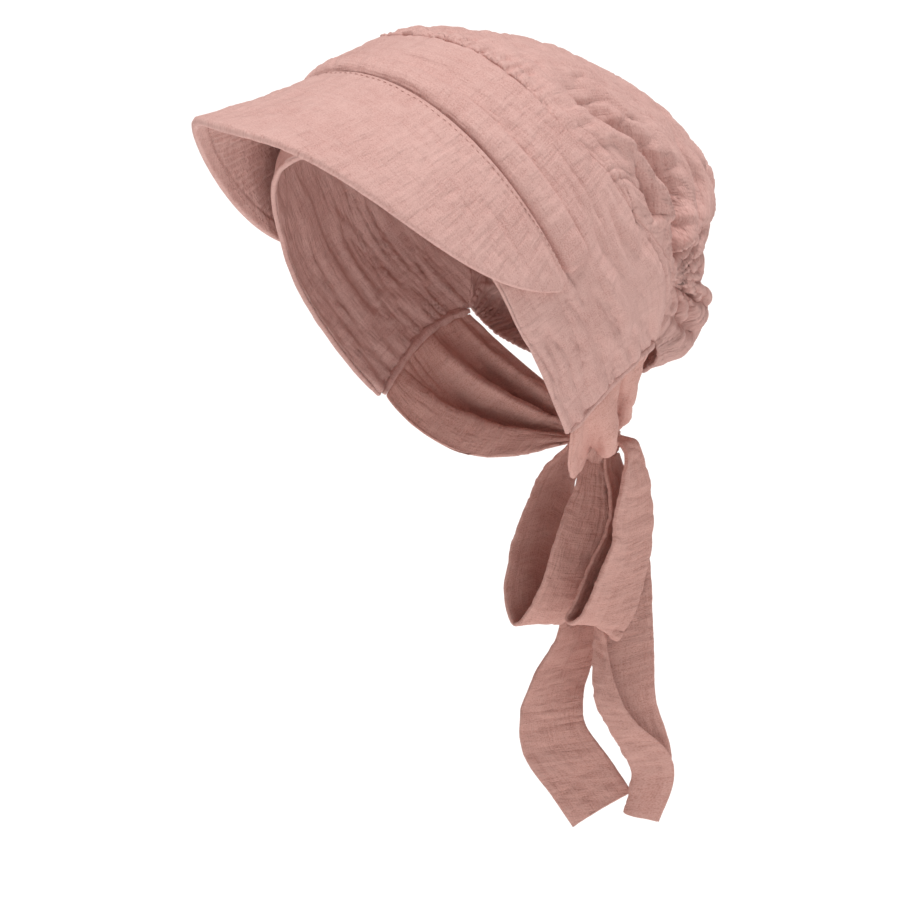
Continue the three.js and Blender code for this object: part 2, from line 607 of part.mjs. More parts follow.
const crown = new THREE.Group();
function add(name, geometry, color) {
  const material = new THREE.MeshStandardMaterial({ color, roughness: 0.95, metalness: 0 });
  const mesh = new THREE.Mesh(geometry, material);
  mesh.name = name;
  crown.add(mesh);
}

add('front_panel', frontPanel(), 0xd8a49a);
add('visor', visor(), 0xdba79c);
add('visor_band', visorBand(), 0xd9a59b);
add('crown_bag', crownBag(), 0xd6a096);
for (const [label, side] of [['left', 1], ['right', -1]]) {
  add(`edge_welt_${label}`, edgeWelt(side), 0xd5a096);
  add(`tie_root_${label}`, tieRoot(side), 0xd29d93);
}
add('bow_knot', bowKnot(), 0xc9938a);
add('bow_loop_left', ribbon(leftLoop, loopSpread, loopDrop, true), 0xcf9990);
add('bow_loop_right', ribbon(rightLoop, loopSpread, loopDrop, true), 0xc08c84);
add('bow_tail_left', ribbon(leftTail, tailSpread, tailDrop, false), 0xc79189);
add('bow_tail_right', ribbon(rightTail, tailSpread, tailDrop, false), 0xc08a82);

export default crown;
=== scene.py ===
import math

import bpy
import numpy as np
from mathutils import Matrix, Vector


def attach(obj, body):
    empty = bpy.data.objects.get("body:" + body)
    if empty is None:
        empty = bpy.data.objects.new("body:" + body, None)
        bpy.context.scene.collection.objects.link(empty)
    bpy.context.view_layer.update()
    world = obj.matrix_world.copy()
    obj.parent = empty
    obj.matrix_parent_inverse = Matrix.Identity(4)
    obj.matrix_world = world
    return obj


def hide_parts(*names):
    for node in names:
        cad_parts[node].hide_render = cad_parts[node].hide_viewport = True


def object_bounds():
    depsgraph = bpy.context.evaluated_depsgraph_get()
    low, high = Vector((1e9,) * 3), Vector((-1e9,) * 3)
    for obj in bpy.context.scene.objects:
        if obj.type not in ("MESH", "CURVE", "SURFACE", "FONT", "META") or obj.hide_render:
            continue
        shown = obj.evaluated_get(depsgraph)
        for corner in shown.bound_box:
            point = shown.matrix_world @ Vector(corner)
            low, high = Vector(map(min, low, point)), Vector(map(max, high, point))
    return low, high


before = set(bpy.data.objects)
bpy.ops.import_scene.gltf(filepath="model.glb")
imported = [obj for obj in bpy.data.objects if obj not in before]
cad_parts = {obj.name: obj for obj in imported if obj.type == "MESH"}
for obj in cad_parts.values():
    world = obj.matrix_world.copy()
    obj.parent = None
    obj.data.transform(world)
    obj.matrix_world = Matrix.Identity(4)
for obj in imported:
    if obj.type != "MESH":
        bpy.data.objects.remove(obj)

# Muslin visor turban in its worn form. Shapes are worked out in millimetres, in the frame
# of the CAD part: +Z up, the visor points to -Y, and +X is the cap's own left.
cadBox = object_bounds()
mm = 0.001

# The photograph's view: 44 degrees round from the front toward +X, and 13 degrees up
view = {
    "target": (-5.0, -4.9, -183.6),
    "back": (0.677, -0.701, 0.225),  # from the target towards the lens
    "distance": 1400,
    "lens": 127.68,  # mm
    "sensor": 36,  # mm across
    "farthest": 100,  # m, past the far end of the floor
}


def smooth(x, low, high):
    t = np.clip((x - low) / (high - low), 0, 1)
    return t * t * (3 - 2 * t)


def mix(a, b, t):
    return a + (b - a) * t


def bump(x, middle, half):
    return np.exp(-(((x - middle) / half) ** 2))


def places(x, y, z):
    return np.stack(np.broadcast_arrays(x, y, z), axis=-1).astype(float)


def unit(v):
    return v / np.maximum(np.linalg.norm(v, axis=-1, keepdims=True), 1e-9)


def readRows(rows, at):
    # cubic reading of a table whose rows stand at growing values of "at"
    stops = np.array([row["at"] for row in rows])
    place = np.clip(at, stops[0], stops[-1])
    k = np.clip(np.searchsorted(stops, place) - 1, 0, len(rows) - 2)
    before = np.maximum(k - 1, 0)
    after = np.minimum(k + 2, len(rows) - 1)
    span = stops[k + 1] - stops[k]
    t = (place - stops[k]) / span
    out = {}
    for key in rows[0]:
        value = np.array([row[key] for row in rows], float)
        slopeA = (value[k + 1] - value[before]) / (stops[k + 1] - stops[before])
        slopeB = (value[after] - value[k]) / (stops[after] - stops[k])
        out[key] = ((2 * t**3 - 3 * t**2 + 1) * value[k] + (t**3 - 2 * t**2 + t) * span * slopeA
                    + (3 * t**2 - 2 * t**3) * value[k + 1] + (t**3 - t**2) * span * slopeB)
    return out


def table(columns, *rows):
    return [dict(zip(columns.split(), row)) for row in rows]


# A number for each uneven pattern, so that no two are alike. The scramble turns it and
# the place of a lump into a value that looks random but is the same each run.
seeds = {
    "panel": 3, "panelTuckBend": 4, "panelTuck": 5, "panelWrinkle": 40, "seamPucker": 21,
    "weltPucker": 22, "visorTop": 11, "visorUnder": 14, "visorRib": 31, "strip": 52,
    "stripPucker": 51, "bag": 65, "bagGather": 61, "bagRuffle": 60, "waistGather": 62,
    "puff": 63, "smallPuff": 64, "backFold": 66, "cornerFold": 67, "sideFold": 68,
    "weltRoll": 71, "root": 81, "rootCrease": 83,
}
scramble = {"x": 127.1, "y": 311.7, "seed": 74.7, "spread": 43758.5453}
creaseSlope = 2.2  # how steeply the cloth rises out of a crease


def lumps(x, y, seed):
    # smooth unevenness from -1 to 1, about one lump for each unit
    cx, cy = np.floor(x), np.floor(y)
    fx, fy = x - cx, y - cy

    def corner(ix, iy):
        turn = ix * scramble["x"] + iy * scramble["y"] + seed * scramble["seed"]
        h = np.sin(turn) * scramble["spread"]
        return 2 * (h - np.floor(h)) - 1

    fx = fx * fx * (3 - 2 * fx)
    fy = fy * fy * (3 - 2 * fy)
    low = mix(corner(cx, cy), corner(cx + 1, cy), fx)
    high = mix(corner(cx, cy + 1), corner(cx + 1, cy + 1), fx)
    return mix(low, high, fy)


def creases(x, y, seed):
    # raised cloth with narrow creases where the lumps change sign
    return 2 * np.minimum(np.abs(lumps(x, y, seed)) * creaseSlope, 1) - 1


# The crinkle that shrinking gives a double gauze, in mm: tucks that run across the cloth
# and along it, with puffs of two sizes between them
crinkle = {
    "acrossLength": 17,
    "acrossPitch": 4.4,
    "alongLength": 15,
    "alongPitch": 4.6,
    "puff": 8,
    "smallPuff": 3.1,
    "smallShare": 0.4,
    "wander": 1.5,
    "wanderLength": 11,
}


def gauze(flat, seed, across, along, soft):
    # the last three are the heights of the two kinds of tuck and of the puffs
    u, v = flat[..., 0], flat[..., 1]
    size = crinkle
    wander = size["wander"] * lumps(u / size["wanderLength"], v / size["wanderLength"], seed + 5)
    crossTucks = creases(u / size["acrossLength"], (v + wander) / size["acrossPitch"], seed + 1)
    longTucks = creases((u + wander) / size["alongPitch"], v / size["alongLength"], seed + 2)
    puffs = lumps(u / size["puff"], v / size["puff"], seed + 3)
    smallPuffs = lumps(u / size["smallPuff"], v / size["smallPuff"], seed + 4)
    return (across * crossTucks + along * longTucks + soft * puffs
            + size["smallShare"] * soft * smallPuffs)


# The rounded form that the cap is cut to, from its inside top down
innerForm = {
    "halfWidth": 73,
    "halfLength": 91,
    "crownDepth": 98,  # from the inside top down to the widest level
    "roundness": 2.6,
    "narrowing": 0.3,  # share of its size lost over napeReach
    "narrowPower": 1.5,
    "napeReach": 80,
    "neckDepth": 1.6,  # napeReaches below the widest level, where the narrowing ends
}
clearance = 0.3
edgeFade = 1  # mm from a cloth's edge over which its relief grows
smallStep = 0.01  # in radians or shares, to find which way a line runs


def seat(p, lift):
    # pushes points straight out until they stand `lift` off the inner form
    form = innerForm
    x, y, z = p[..., 0], p[..., 1], p[..., 2]
    depth = np.clip((-form["crownDepth"] - z) / form["napeReach"], 0, form["neckDepth"])
    narrow = 1 - form["narrowing"] * depth ** form["narrowPower"]
    low = np.hypot(x / (form["halfWidth"] * narrow + lift), y / (form["halfLength"] * narrow + lift))
    rise = np.maximum(z + form["crownDepth"], 0)
    r = np.hypot(x / (form["halfWidth"] + lift), y / (form["halfLength"] + lift))
    power = form["roundness"]
    high = (r**power + (rise / (form["crownDepth"] + lift)) ** power) ** (1 / power)
    below = z < -form["crownDepth"]
    size = np.where(below, low, high)
    return places(x / size, y / size, np.where(below, z, rise / size - form["crownDepth"]))


def gridNormals(points):
    return unit(np.cross(np.gradient(points, axis=0), np.gradient(points, axis=1)))


def flatMap(points):
    # where each point lies on the cloth before it is bent, in mm
    over = np.linalg.norm(np.diff(points, axis=1), axis=-1).mean(axis=0)
    down = np.linalg.norm(np.diff(points, axis=0), axis=-1)
    u = np.concatenate([[0], np.cumsum(over)])
    v = np.concatenate([np.zeros((1, points.shape[1])), np.cumsum(down, axis=0)])
    return np.stack([np.broadcast_to(u, v.shape), v], axis=-1)


roundSteps = (0, 0.08, 0.3, 0.65, 1)  # shares of a rounded edge at which the mesh has rows


def edgeRows(length, step, edge):
    # shares of a length, close together at both ends where the cloth's edge is rounded
    lead = np.array(roundSteps) * edge
    count = max(int(round((length - 2 * edge) / step)), 2)
    middle = np.linspace(edge, length - edge, count + 1)[1:-1]
    return np.concatenate([lead, middle, length - lead[::-1]]) / length


def rounded(distance, edge):
    return np.sqrt(np.maximum(1 - (1 - np.clip(distance / edge, 0, 1)) ** 2, 0))


def clothHalf(fill, edge, *distances):
    # half thickness of a cloth, rounded off toward its edges
    half = fill * edge
    for distance in distances:
        half = half * rounded(distance, edge)
    return half


def edgeDistance(flat):
    # distance of each point from the four edges of its cloth, in mm: first, last, start, end
    u, v = flat[..., 0], flat[..., 1]
    return v, v[-1:] - v, u - u[:, :1], u[:, -1:] - u


def meshFrom(name, points, faces, uv):
    mesh = bpy.data.meshes.new(name)
    mesh.from_pydata((points * mm).tolist(), [], faces)
    layer = mesh.uv_layers.new(name="cloth")
    corners = np.empty(len(mesh.loops), dtype=np.int32)
    mesh.loops.foreach_get("vertex_index", corners)
    layer.data.foreach_set("uv", (uv[corners] * mm).astype(np.float32).ravel())
    mesh.polygons.foreach_set("use_smooth", [True] * len(mesh.polygons))
    mesh.update()
    piece = bpy.data.objects.new(name, mesh)
    bpy.context.scene.collection.objects.link(piece)
    return piece


def facingOut(points, faces):
    a, b, c, d = (points[faces[:, k]] for k in range(4))
    volume = (np.cross(b, c) * a).sum() + (np.cross(c, d) * a).sum()
    return (faces if volume > 0 else faces[:, ::-1]).tolist()


def shell(name, outer, inner, flat):
    # a closed cloth between two grids that meet along their edges
    rows, cols = outer.shape[:2]
    top = np.arange(rows * cols).reshape(rows, cols)
    low = top.copy()
    low[1:-1, 1:-1] = rows * cols + np.arange((rows - 2) * (cols - 2)).reshape(rows - 2, cols - 2)
    points = np.concatenate([outer.reshape(-1, 3), inner[1:-1, 1:-1].reshape(-1, 3)])
    uv = np.concatenate([flat.reshape(-1, 2), flat[1:-1, 1:-1].reshape(-1, 2)])

    def quads(ids):
        return np.stack([ids[:-1, :-1], ids[1:, :-1], ids[1:, 1:], ids[:-1, 1:]], axis=-1).reshape(-1, 4)

    faces = np.concatenate([quads(top), quads(low)[:, ::-1]])
    return meshFrom(name, points, facingOut(points, faces), uv)


surfaces = {}  # the two faces of each cloth and the shares of its rows, for the stitches


def cloth(name, middle, flat, half, side, outerRise=0, innerRise=0):
    # side is 1 where the grid's own normals point out, and -1 where they point in
    normals = side * gridNormals(middle)
    lively = smooth(half, 0, half.max())
    outer = middle + normals * (half + outerRise * lively)[..., None]
    inner = middle - normals * (half + innerRise * lively)[..., None]
    run = np.linalg.norm(np.diff(middle, axis=0), axis=-1).mean(axis=1)
    shares = np.concatenate([[0], np.cumsum(run)]) / run.sum()
    surfaces[name] = {"outer": outer, "inner": inner, "normals": normals, "shares": shares}
    return shell(name, outer, inner, flat)


def tubePiece(name, points, radius, sides, aside=(0, 0, 1)):
    # a closed round piece along points; radius is a grid of points by sides
    along = unit(np.gradient(points, axis=0))
    over = unit(np.cross(aside, along))
    up = np.cross(along, over)
    turn = np.linspace(0, 2 * math.pi, sides + 1)[:-1]
    ring = over[:, None] * np.cos(turn)[None, :, None] + up[:, None] * np.sin(turn)[None, :, None]
    skin = points[:, None] + ring * radius[..., None]
    ids = np.arange(len(points) * sides).reshape(len(points), sides)
    after = np.roll(ids, -1, axis=1)
    walls = np.stack([ids[:-1], after[:-1], after[1:], ids[1:]], axis=-1).reshape(-1, 4)
    verts = skin.reshape(-1, 3)
    run = np.concatenate([[0], np.cumsum(np.linalg.norm(np.diff(points, axis=0), axis=-1))])
    uv = np.stack(np.broadcast_arrays(run[:, None], (turn * radius.max())[None, :]), axis=-1)
    faces = facingOut(verts, walls)
    ends = [ids[0].tolist(), ids[-1].tolist()]
    flipped = faces[0] != walls[0].tolist()
    ends = [ends[0], ends[1][::-1]] if flipped else [ends[0][::-1], ends[1]]
    return meshFrom(name, verts, faces + ends, uv.reshape(-1, 2))


# Gauze band over the crown
panel = {
    "wall": 2,
    "fill": 0.9,  # share of its wall that the cloth takes up
    "browDrop": 46,
    "cornerDrop": 168,
    "rearCornerDrop": 135,
    "rearCornerBack": 62,
    "seamBack": -30,
    "cornerStand": 7,
    "standRun": (0.55, 0.9),  # shares from the middle to a corner over which it grows
    "standFrom": 0.2,  # share of its length from which it grows
    "edgeBow": 8,
    "bowFrom": 0.75,
    "length": 66,  # from its front edge to its rear seam
    "around": 470,  # from corner to corner over the top
    "grain": 1.25,  # spacing of the mesh
    "crinkle": {"across": 0.1, "along": 0.06, "soft": 0.16},
    "tuckDepth": 1,  # of the long fine tucks that run round the band
    "tuckLength": 46,
    "tuckPitch": 4.6,
    "tuckBends": (14, 3),  # from its middle to a corner, and in its length
    "tuckTop": 0.35,  # share of their depth that is left over the top
    "tuckRun": (0.3, 0.75),  # shares from the middle to a corner over which they deepen
    "wrinkleWander": 0.02,
    "wrinkleBends": 9,
    "puckerDepth": 0.3,  # of the small puckers that the rear seam draws
    "puckerWidth": 5.5,
    "puckerRun": 11,
    "puckerBends": 1.4,
    "weltPuckerDepth": 0.24,  # of those that the welts draw
    "weltPuckerLength": 60,
    "weltPuckerRun": 30,
    "hemWidth": 3.5,
    "hemRise": 0.35,
    "hemStep": 0.6,
    "hemGroove": 0.8,  # share of hemRise
    "hemGrooveHalf": 0.5,
}
# Its edges, from the middle of the top down to a corner: side and back are shares of the
# inner form or of the seam's reach, fall is a share of the drop
frontEdge = table(
    "at side back fall",
    (0, 0, -0.95, 0),
    (0.12, 0.3, -0.92, 0.03),
    (0.24, 0.55, -0.82, 0.12),
    (0.39, 0.77, -0.66, 0.27),
    (0.51, 0.875, -0.535, 0.41),
    (0.64, 0.91, -0.41, 0.575),
    (0.76, 0.9, -0.26, 0.73),
    (0.88, 0.855, -0.12, 0.87),
    (1, 0.78, 0.03, 1),
)
rearEdge = table(
    "at side back fall",
    (0, 0, 0, 0.004),
    (0.075, 0.21, 0.01, 0.009),
    (0.15, 0.43, 0.035, 0.038),
    (0.26, 0.7, 0.1, 0.126),
    (0.38, 0.89, 0.22, 0.258),
    (0.5, 0.97, 0.42, 0.39),
    (0.6, 0.98, 0.56, 0.509),
    (0.72, 0.93, 0.77, 0.648),
    (0.81, 0.86, 0.91, 0.733),
    (0.9, 0.81, 1.02, 0.85),
    (1, 0.78, 1.02, 1),
)
# Long soft wrinkles round the band. They start and end at shares from its middle to a
# corner, lie at a share of its length, and rise in mm.
panelWrinkles = table(
    "start end at lean rise half",
    (0.12, 0.78, 0.61, -0.08, 1.9, 0.04),
    (0.02, 0.6, 0.8, -0.15, 1.5, 0.035),
    (0.28, 0.8, 0.74, -0.06, 1.2, 0.035),
    (0.36, 0.95, 0.9, -0.08, 1.0, 0.035),
    (0.55, 1, 0.34, 0.1, 1.2, 0.04),
    (0.6, 1, 0.52, 0.05, 1.0, 0.035),
    (0.5, 0.98, 0.68, 0.04, -0.8, 0.03),
    (-0.66, -0.05, 0.72, 0.05, 1.4, 0.035),
    (-0.95, -0.3, 0.6, -0.05, 1.2, 0.04),
    (-0.9, -0.4, 0.84, 0.03, -0.9, 0.03),
)


def frontPoint(u):
    row = readRows(frontEdge, np.abs(u))
    drop = mix(panel["browDrop"], panel["cornerDrop"], row["fall"])
    return places(np.sign(u) * row["side"] * innerForm["halfWidth"],
                  row["back"] * innerForm["halfLength"], -drop)


def rearPoint(u):
    row = readRows(rearEdge, np.abs(u))
    back = mix(panel["seamBack"], panel["rearCornerBack"], row["back"])
    return places(np.sign(u) * row["side"] * innerForm["halfWidth"], back,
                  -panel["rearCornerDrop"] * row["fall"])


def panelPoint(u, v, lift):
    u, v = np.broadcast_arrays(np.asarray(u, float), np.asarray(v, float))
    p = mix(frontPoint(u), rearPoint(u), v[..., None])
    corner = smooth(np.abs(u), panel["bowFrom"], 1)
    p[..., 2] += panel["edgeBow"] * corner * np.sin(math.pi * np.clip(v, 0, 1))
    stand = smooth(np.abs(u), *panel["standRun"]) * smooth(v, panel["standFrom"], 1)
    return seat(p, lift + panel["cornerStand"] * stand)


def makePanel():
    edge = panel["wall"] / 2
    v = edgeRows(panel["length"], panel["grain"], edge)[:, None]
    u = 2 * edgeRows(panel["around"], panel["grain"], edge)[None, :] - 1
    middle = panelPoint(u, v, edge)
    flat = flatMap(middle)
    front, rear, right, left = edgeDistance(flat)
    ends = np.minimum(right, left)
    half = clothHalf(panel["fill"], edge, front, rear, ends)
    rise = gauze(flat, seeds["panel"], **panel["crinkle"])

    bendsRound, bendsBack = panel["tuckBends"]
    tuckAt = flat[..., 1] + lumps(u * bendsRound, v * bendsBack, seeds["panelTuckBend"])
    longTucks = creases(flat[..., 0] / panel["tuckLength"], tuckAt / panel["tuckPitch"],
                        seeds["panelTuck"])
    down = smooth(np.abs(u), *panel["tuckRun"])
    rise = rise + panel["tuckDepth"] * longTucks * mix(panel["tuckTop"], 1, down)

    for w in panelWrinkles:
        run = (u - w["start"]) / (w["end"] - w["start"])
        fade = np.sqrt(np.sin(math.pi * np.clip(run, 0, 1)))
        bends = lumps(u * panel["wrinkleBends"], v * 0, seeds["panelWrinkle"] + w["at"])
        centre = w["at"] + w["lean"] * run + panel["wrinkleWander"] * bends
        rise = rise + w["rise"] * fade * bump(v, centre, w["half"])

    pucker = creases(flat[..., 0] / panel["puckerWidth"], v * panel["puckerBends"],
                     seeds["seamPucker"])
    rise = rise + panel["puckerDepth"] * pucker * (1 - smooth(rear, 0, panel["puckerRun"]))
    weltPucker = creases(v * panel["length"] / panel["puckerWidth"],
                         flat[..., 0] / panel["weltPuckerLength"], seeds["weltPucker"])
    nearWelt = 1 - smooth(ends, 0, panel["weltPuckerRun"])
    rise = rise + panel["weltPuckerDepth"] * weltPucker * nearWelt

    hem = 1 - smooth(front, panel["hemWidth"] - panel["hemStep"], panel["hemWidth"] + panel["hemStep"])
    groove = bump(front, panel["hemWidth"], panel["hemGrooveHalf"])
    extra = panel["hemRise"] * (hem - panel["hemGroove"] * groove)
    body = smooth(front, 0, edgeFade) * smooth(rear, 0, edgeFade) * smooth(ends, 0, edgeFade)
    middle = middle - gridNormals(middle) * (rise * body)[..., None]
    return cloth("panelCloth", middle, flat, half, -1, extra, extra)


# Visor: cloth on both faces of a thin stiff sheet
visor = {
    "wall": 3.4,
    "seamTopDrop": 15.5,
    "seamEndDrop": 100.5,
    "seamHalfSpan": 74,
    "seamEndBack": 16,
    "seamRise": 49,
    "rimTopDrop": 29.5,
    "rimEndDrop": 101,
    "rimReach": 124,
    "rimTilt": 4,  # how far the rim hangs lower on the left and higher on the right
    "rimFall": 3,  # how late round the oval the rim drops away
    "sag": 1,
    "turn": 87,  # degrees of the oval from the middle to an end
    "around": 330,
    "depth": 64,
    "grain": 1.2,
    "topFade": 4,  # from the seam, over which the upper relief grows
    "ribFade": 6,
    "topCrinkle": {"across": 0.26, "along": 0.2, "soft": 0.22},
    "underCrinkle": {"across": 0.1, "along": 0.08, "soft": 0.12},
    "stitchLine": 2.4,  # of the top stitching, from the seam
    "stitchGroove": 0.5,
    "stitchGrooveHalf": 0.8,
    "facing": 8,  # width of the stitched turn-in under the rim
    "facingBlend": (1, 1.5),  # before and past its stitches
    "facingCrinkle": 0.45,  # share of the crinkle that is left over it
    "facingRise": 0.15,  # on the upper face
    "facingUnderRise": 0.35,
    "facingGroove": 0.55,
    "facingGrooveHalf": 0.6,
    "ribWidth": 4.2,  # of the gathers in the lining
    "ribDepth": 1.25,
    "ribMiddle": 0.6,  # share of a rib's height that lies level with the cloth
    "ribWander": 1.6,
    "ribBends": (9, 14),  # mm across the ribs and along them
}
clothTop = panel["wall"] + clearance
formMiddle = np.array([0, 0, -innerForm["crownDepth"]])


def joinPoint(angle, lift):
    drop = mix(visor["seamTopDrop"], visor["seamEndDrop"], 1 - np.cos(angle))
    ahead = visor["seamEndBack"] + visor["seamRise"] * np.cos(angle)
    return seat(places(visor["seamHalfSpan"] * np.sin(angle), -ahead, -drop), lift)


def rimPoint(angle):
    fall = np.abs(np.sin(angle)) ** visor["rimFall"]
    ahead = visor["seamEndBack"] + visor["rimReach"] * np.cos(angle)
    drop = mix(visor["rimTopDrop"], visor["rimEndDrop"], fall) + visor["rimTilt"] * np.sin(2 * angle)
    return places(visor["seamHalfSpan"] * np.sin(angle), -ahead, -drop)


def visorPoint(angle, y):
    angle, y = np.broadcast_arrays(angle, y)
    lift = clothTop + visor["wall"] / 2
    p = mix(joinPoint(angle, lift), rimPoint(angle), y[..., None])
    p[..., 2] -= visor["sag"] * np.sin(math.pi * y) * np.cos(angle)
    seated = seat(p, lift)
    away = np.linalg.norm(p - formMiddle, axis=-1)
    seatedAway = np.linalg.norm(seated - formMiddle, axis=-1)
    return np.where((seatedAway > away)[..., None], seated, p)


def makeVisor():
    edge = visor["wall"] / 2
    y = edgeRows(visor["depth"], visor["grain"], edge)[:, None]
    x = edgeRows(visor["around"], visor["grain"], edge)[None, :]
    middle = visorPoint((2 * x - 1) * math.radians(visor["turn"]), y)
    flat = flatMap(middle)
    join, rim, right, left = edgeDistance(flat)
    half = clothHalf(1, edge, join, rim, np.minimum(right, left))
    before, past = visor["facingBlend"]
    inside = smooth(rim, visor["facing"] - before, visor["facing"] + past)  # 0 over the facing

    top = gauze(flat, seeds["visorTop"], **visor["topCrinkle"]) * mix(visor["facingCrinkle"], 1, inside)
    groove = visor["stitchGroove"] * bump(join, visor["stitchLine"], visor["stitchGrooveHalf"])
    top = top * smooth(join, 0, visor["topFade"]) + visor["facingRise"] * (1 - inside) - groove

    bendAcross, bendAlong = visor["ribBends"]
    bends = lumps(flat[..., 0] / bendAcross, join / bendAlong, seeds["visorRib"])
    ribAt = flat[..., 0] + visor["ribWander"] * bends
    ribs = np.abs(np.sin(math.pi * ribAt / visor["ribWidth"]))
    ribRise = visor["ribDepth"] * (ribs - visor["ribMiddle"])
    under = ribRise * inside * smooth(join, 0, visor["ribFade"])
    groove = visor["facingGroove"] * bump(rim, visor["facing"], visor["facingGrooveHalf"])
    under = under - groove + visor["facingUnderRise"] * (1 - inside)
    under = under + gauze(flat, seeds["visorUnder"], **visor["underCrinkle"])
    return cloth("visorCloth", middle, flat, half, 1, top, under)


# Padded strip that lies behind the visor's seam
strip = {
    "width": 13,
    "endWidth": 17,
    "thickness": 4,
    "plump": 0.85,  # share of its thickness that the wadding fills
    "crisp": 3.2,  # how squarely its section rises at the sides
    "fullness": 0.8,  # the lower, the fuller it is beside them
    "edge": 1.5,  # width over which the mesh is close together
    "overRise": 2,  # mm that its rounded section is longer than its width
    "endRound": 5,
    "endShare": 0.45,  # share of its width that is left at its very ends
    "around": 280,
    "grain": 1.1,
    "fineRun": (0.3, 0.9),  # shares of its rise over which the fine relief grows
    "pucker": 0.35,
    "puckerWidth": 6,
    "puckerLength": 16,
    "crinkle": {"across": 0.08, "along": 0.1, "soft": 0.18},
}


def stripPoint(angle, y, lift):
    angle, y = np.broadcast_arrays(angle, y)
    start = joinPoint(angle, clothTop)
    along = joinPoint(angle + smallStep, clothTop) - joinPoint(angle - smallStep, clothTop)
    rearward = -unit(np.cross(along, unit(start - formMiddle)))
    reach = math.radians(visor["turn"])
    width = clearance + y * mix(strip["width"], strip["endWidth"], (angle / reach) ** 2)
    return seat(start + rearward * width[..., None], clothTop + lift)


def makeStrip():
    y = edgeRows(strip["width"] + strip["overRise"], strip["grain"], strip["edge"])[:, None]
    x = edgeRows(strip["around"], strip["grain"], strip["edge"])[None, :]
    end = rounded(np.minimum(x, 1 - x) * strip["around"], strip["endRound"])
    narrowed = 0.5 + (y - 0.5) * mix(strip["endShare"], 1, end)
    angle = (2 * x - 1) * math.radians(visor["turn"])
    base = stripPoint(angle, narrowed, 0)
    flat = flatMap(base)
    section = np.maximum(1 - np.abs(2 * y - 1) ** strip["crisp"], 0)
    swell = section ** strip["fullness"] * end
    ripple = creases(flat[..., 0] / strip["puckerWidth"], flat[..., 1] / strip["puckerLength"],
                     seeds["stripPucker"])
    fine = strip["pucker"] * ripple + gauze(flat, seeds["strip"], **strip["crinkle"])
    fine = fine * smooth(swell, *strip["fineRun"])
    lift = swell * (strip["plump"] * strip["thickness"] + fine)
    outer = stripPoint(angle, narrowed, lift)
    return shell("stripPad", outer, base, flat)


# Gathered crown bag
bag = {
    "wall": 1.6,
    "fill": 0.9,
    "back": 121,
    "widestDrop": 62,
    "waistBack": 109,
    "waistDrop": 110,
    "puffBack": 121,
    "puffDrop": 129,
    "hemBack": 79,
    "hemDrop": 158,
    "seamGap": 0.5,
    "length": 300,
    "around": 330,
    "grain": 1.5,
    "seamRun": 0.2,  # share of the length over which it leaves the form of the seam
    "foldDepth": 9,
    "foldSeam": (0.02, 0.1),  # shares of the length over which all folds grow
    "foldHem": 0.06,  # and over which they end
    "foldSides": 0.05,
    "foldRun": 0.3,  # share of the length over which the back folds grow
    "foldShallow": 0.4,  # share of the back folds' depth that is left away from the waist
    "backFoldWander": 0.02,
    "cornerAt": 0.68,  # share of the length at which the side folds run together
    "cornerGather": 20,
    "cornerWander": 2.5,  # degrees
    "cornerBend": 28,
    "cornerBendRun": (20, 80),
    "leanFrom": 0.6,  # shares of a corner fold's reach from which it leans and fades
    "fadeFrom": 0.7,
    "sideWander": 2.2,
    "foldBends": 9,  # of the back and side folds, in the bag's length
    "gathers": 46,  # small ones at the seam, from the middle to a side
    "gatherBends": 8,
    "gatherDepth": 1.4,
    "gatherStart": (0.004, 0.02),  # shares of the length over which they grow and fade
    "gatherFade": (0.03, 0.14),
    "gatherThin": (0.38, 0.62),  # shares from the middle to a side over which they thin out
    "gatherSides": 0.1,  # share of their depth that is left there
    "ruffle": 0.6,  # share of gatherDepth, of the unevenness in them
    "ruffles": (70, 60),
    "waistGathers": 21,
    "waistGatherBends": 4,
    "waistGatherDepth": 1.1,
    "waistGatherHalf": 0.07,
    "puffs": 9,
    "puffRise": 1.1,
    "smallPuffs": (19, 17),
    "smallPuffRise": 0.6,
    "puffSeam": (0.02, 0.15),
    "puffEdge": 0.05,
    "crinkle": {"across": 0.38, "along": 0.6, "soft": 0.35},
}
# Its outline from the seam to the hem: at is a share of its length and seam of the band's
# rear edge, back and drop are those of the middle of its back
waistAt = 0.66
bagRows = table(
    "at seam back drop square",
    (0, 0.6, panel["seamBack"], 0, 2.3),
    (0.1, 0.61, 0.03 * bag["back"], -0.01 * bag["widestDrop"], 2.2),
    (0.22, 0.63, 0.4 * bag["back"], 0.2 * bag["widestDrop"], 2.1),
    (0.34, 0.66, 0.78 * bag["back"], 0.55 * bag["widestDrop"], 2.3),
    (0.46, 0.7, bag["back"], bag["widestDrop"], 2.6),
    (0.56, 0.76, 0.97 * bag["back"], 0.8 * bag["waistDrop"], 2.8),
    (waistAt, 0.84, bag["waistBack"], bag["waistDrop"], 2.6),
    (0.78, 0.91, bag["puffBack"], bag["puffDrop"], 2.9),
    (0.9, 0.97, 0.93 * bag["puffBack"], 0.96 * bag["hemDrop"], 2.4),
    (1, 1, bag["hemBack"], bag["hemDrop"], 2.2),
)
backFolds = table(
    "across fade depth half",
    (-0.52, 0.1, 0.7, 0.06),
    (-0.33, 0.05, 0.8, 0.07),
    (-0.12, 0.14, 0.6, 0.06),
    (0.08, 0.06, 0.8, 0.07),
    (0.29, 0.12, 0.6, 0.06),
    (0.5, 0.08, 0.7, 0.07),
)
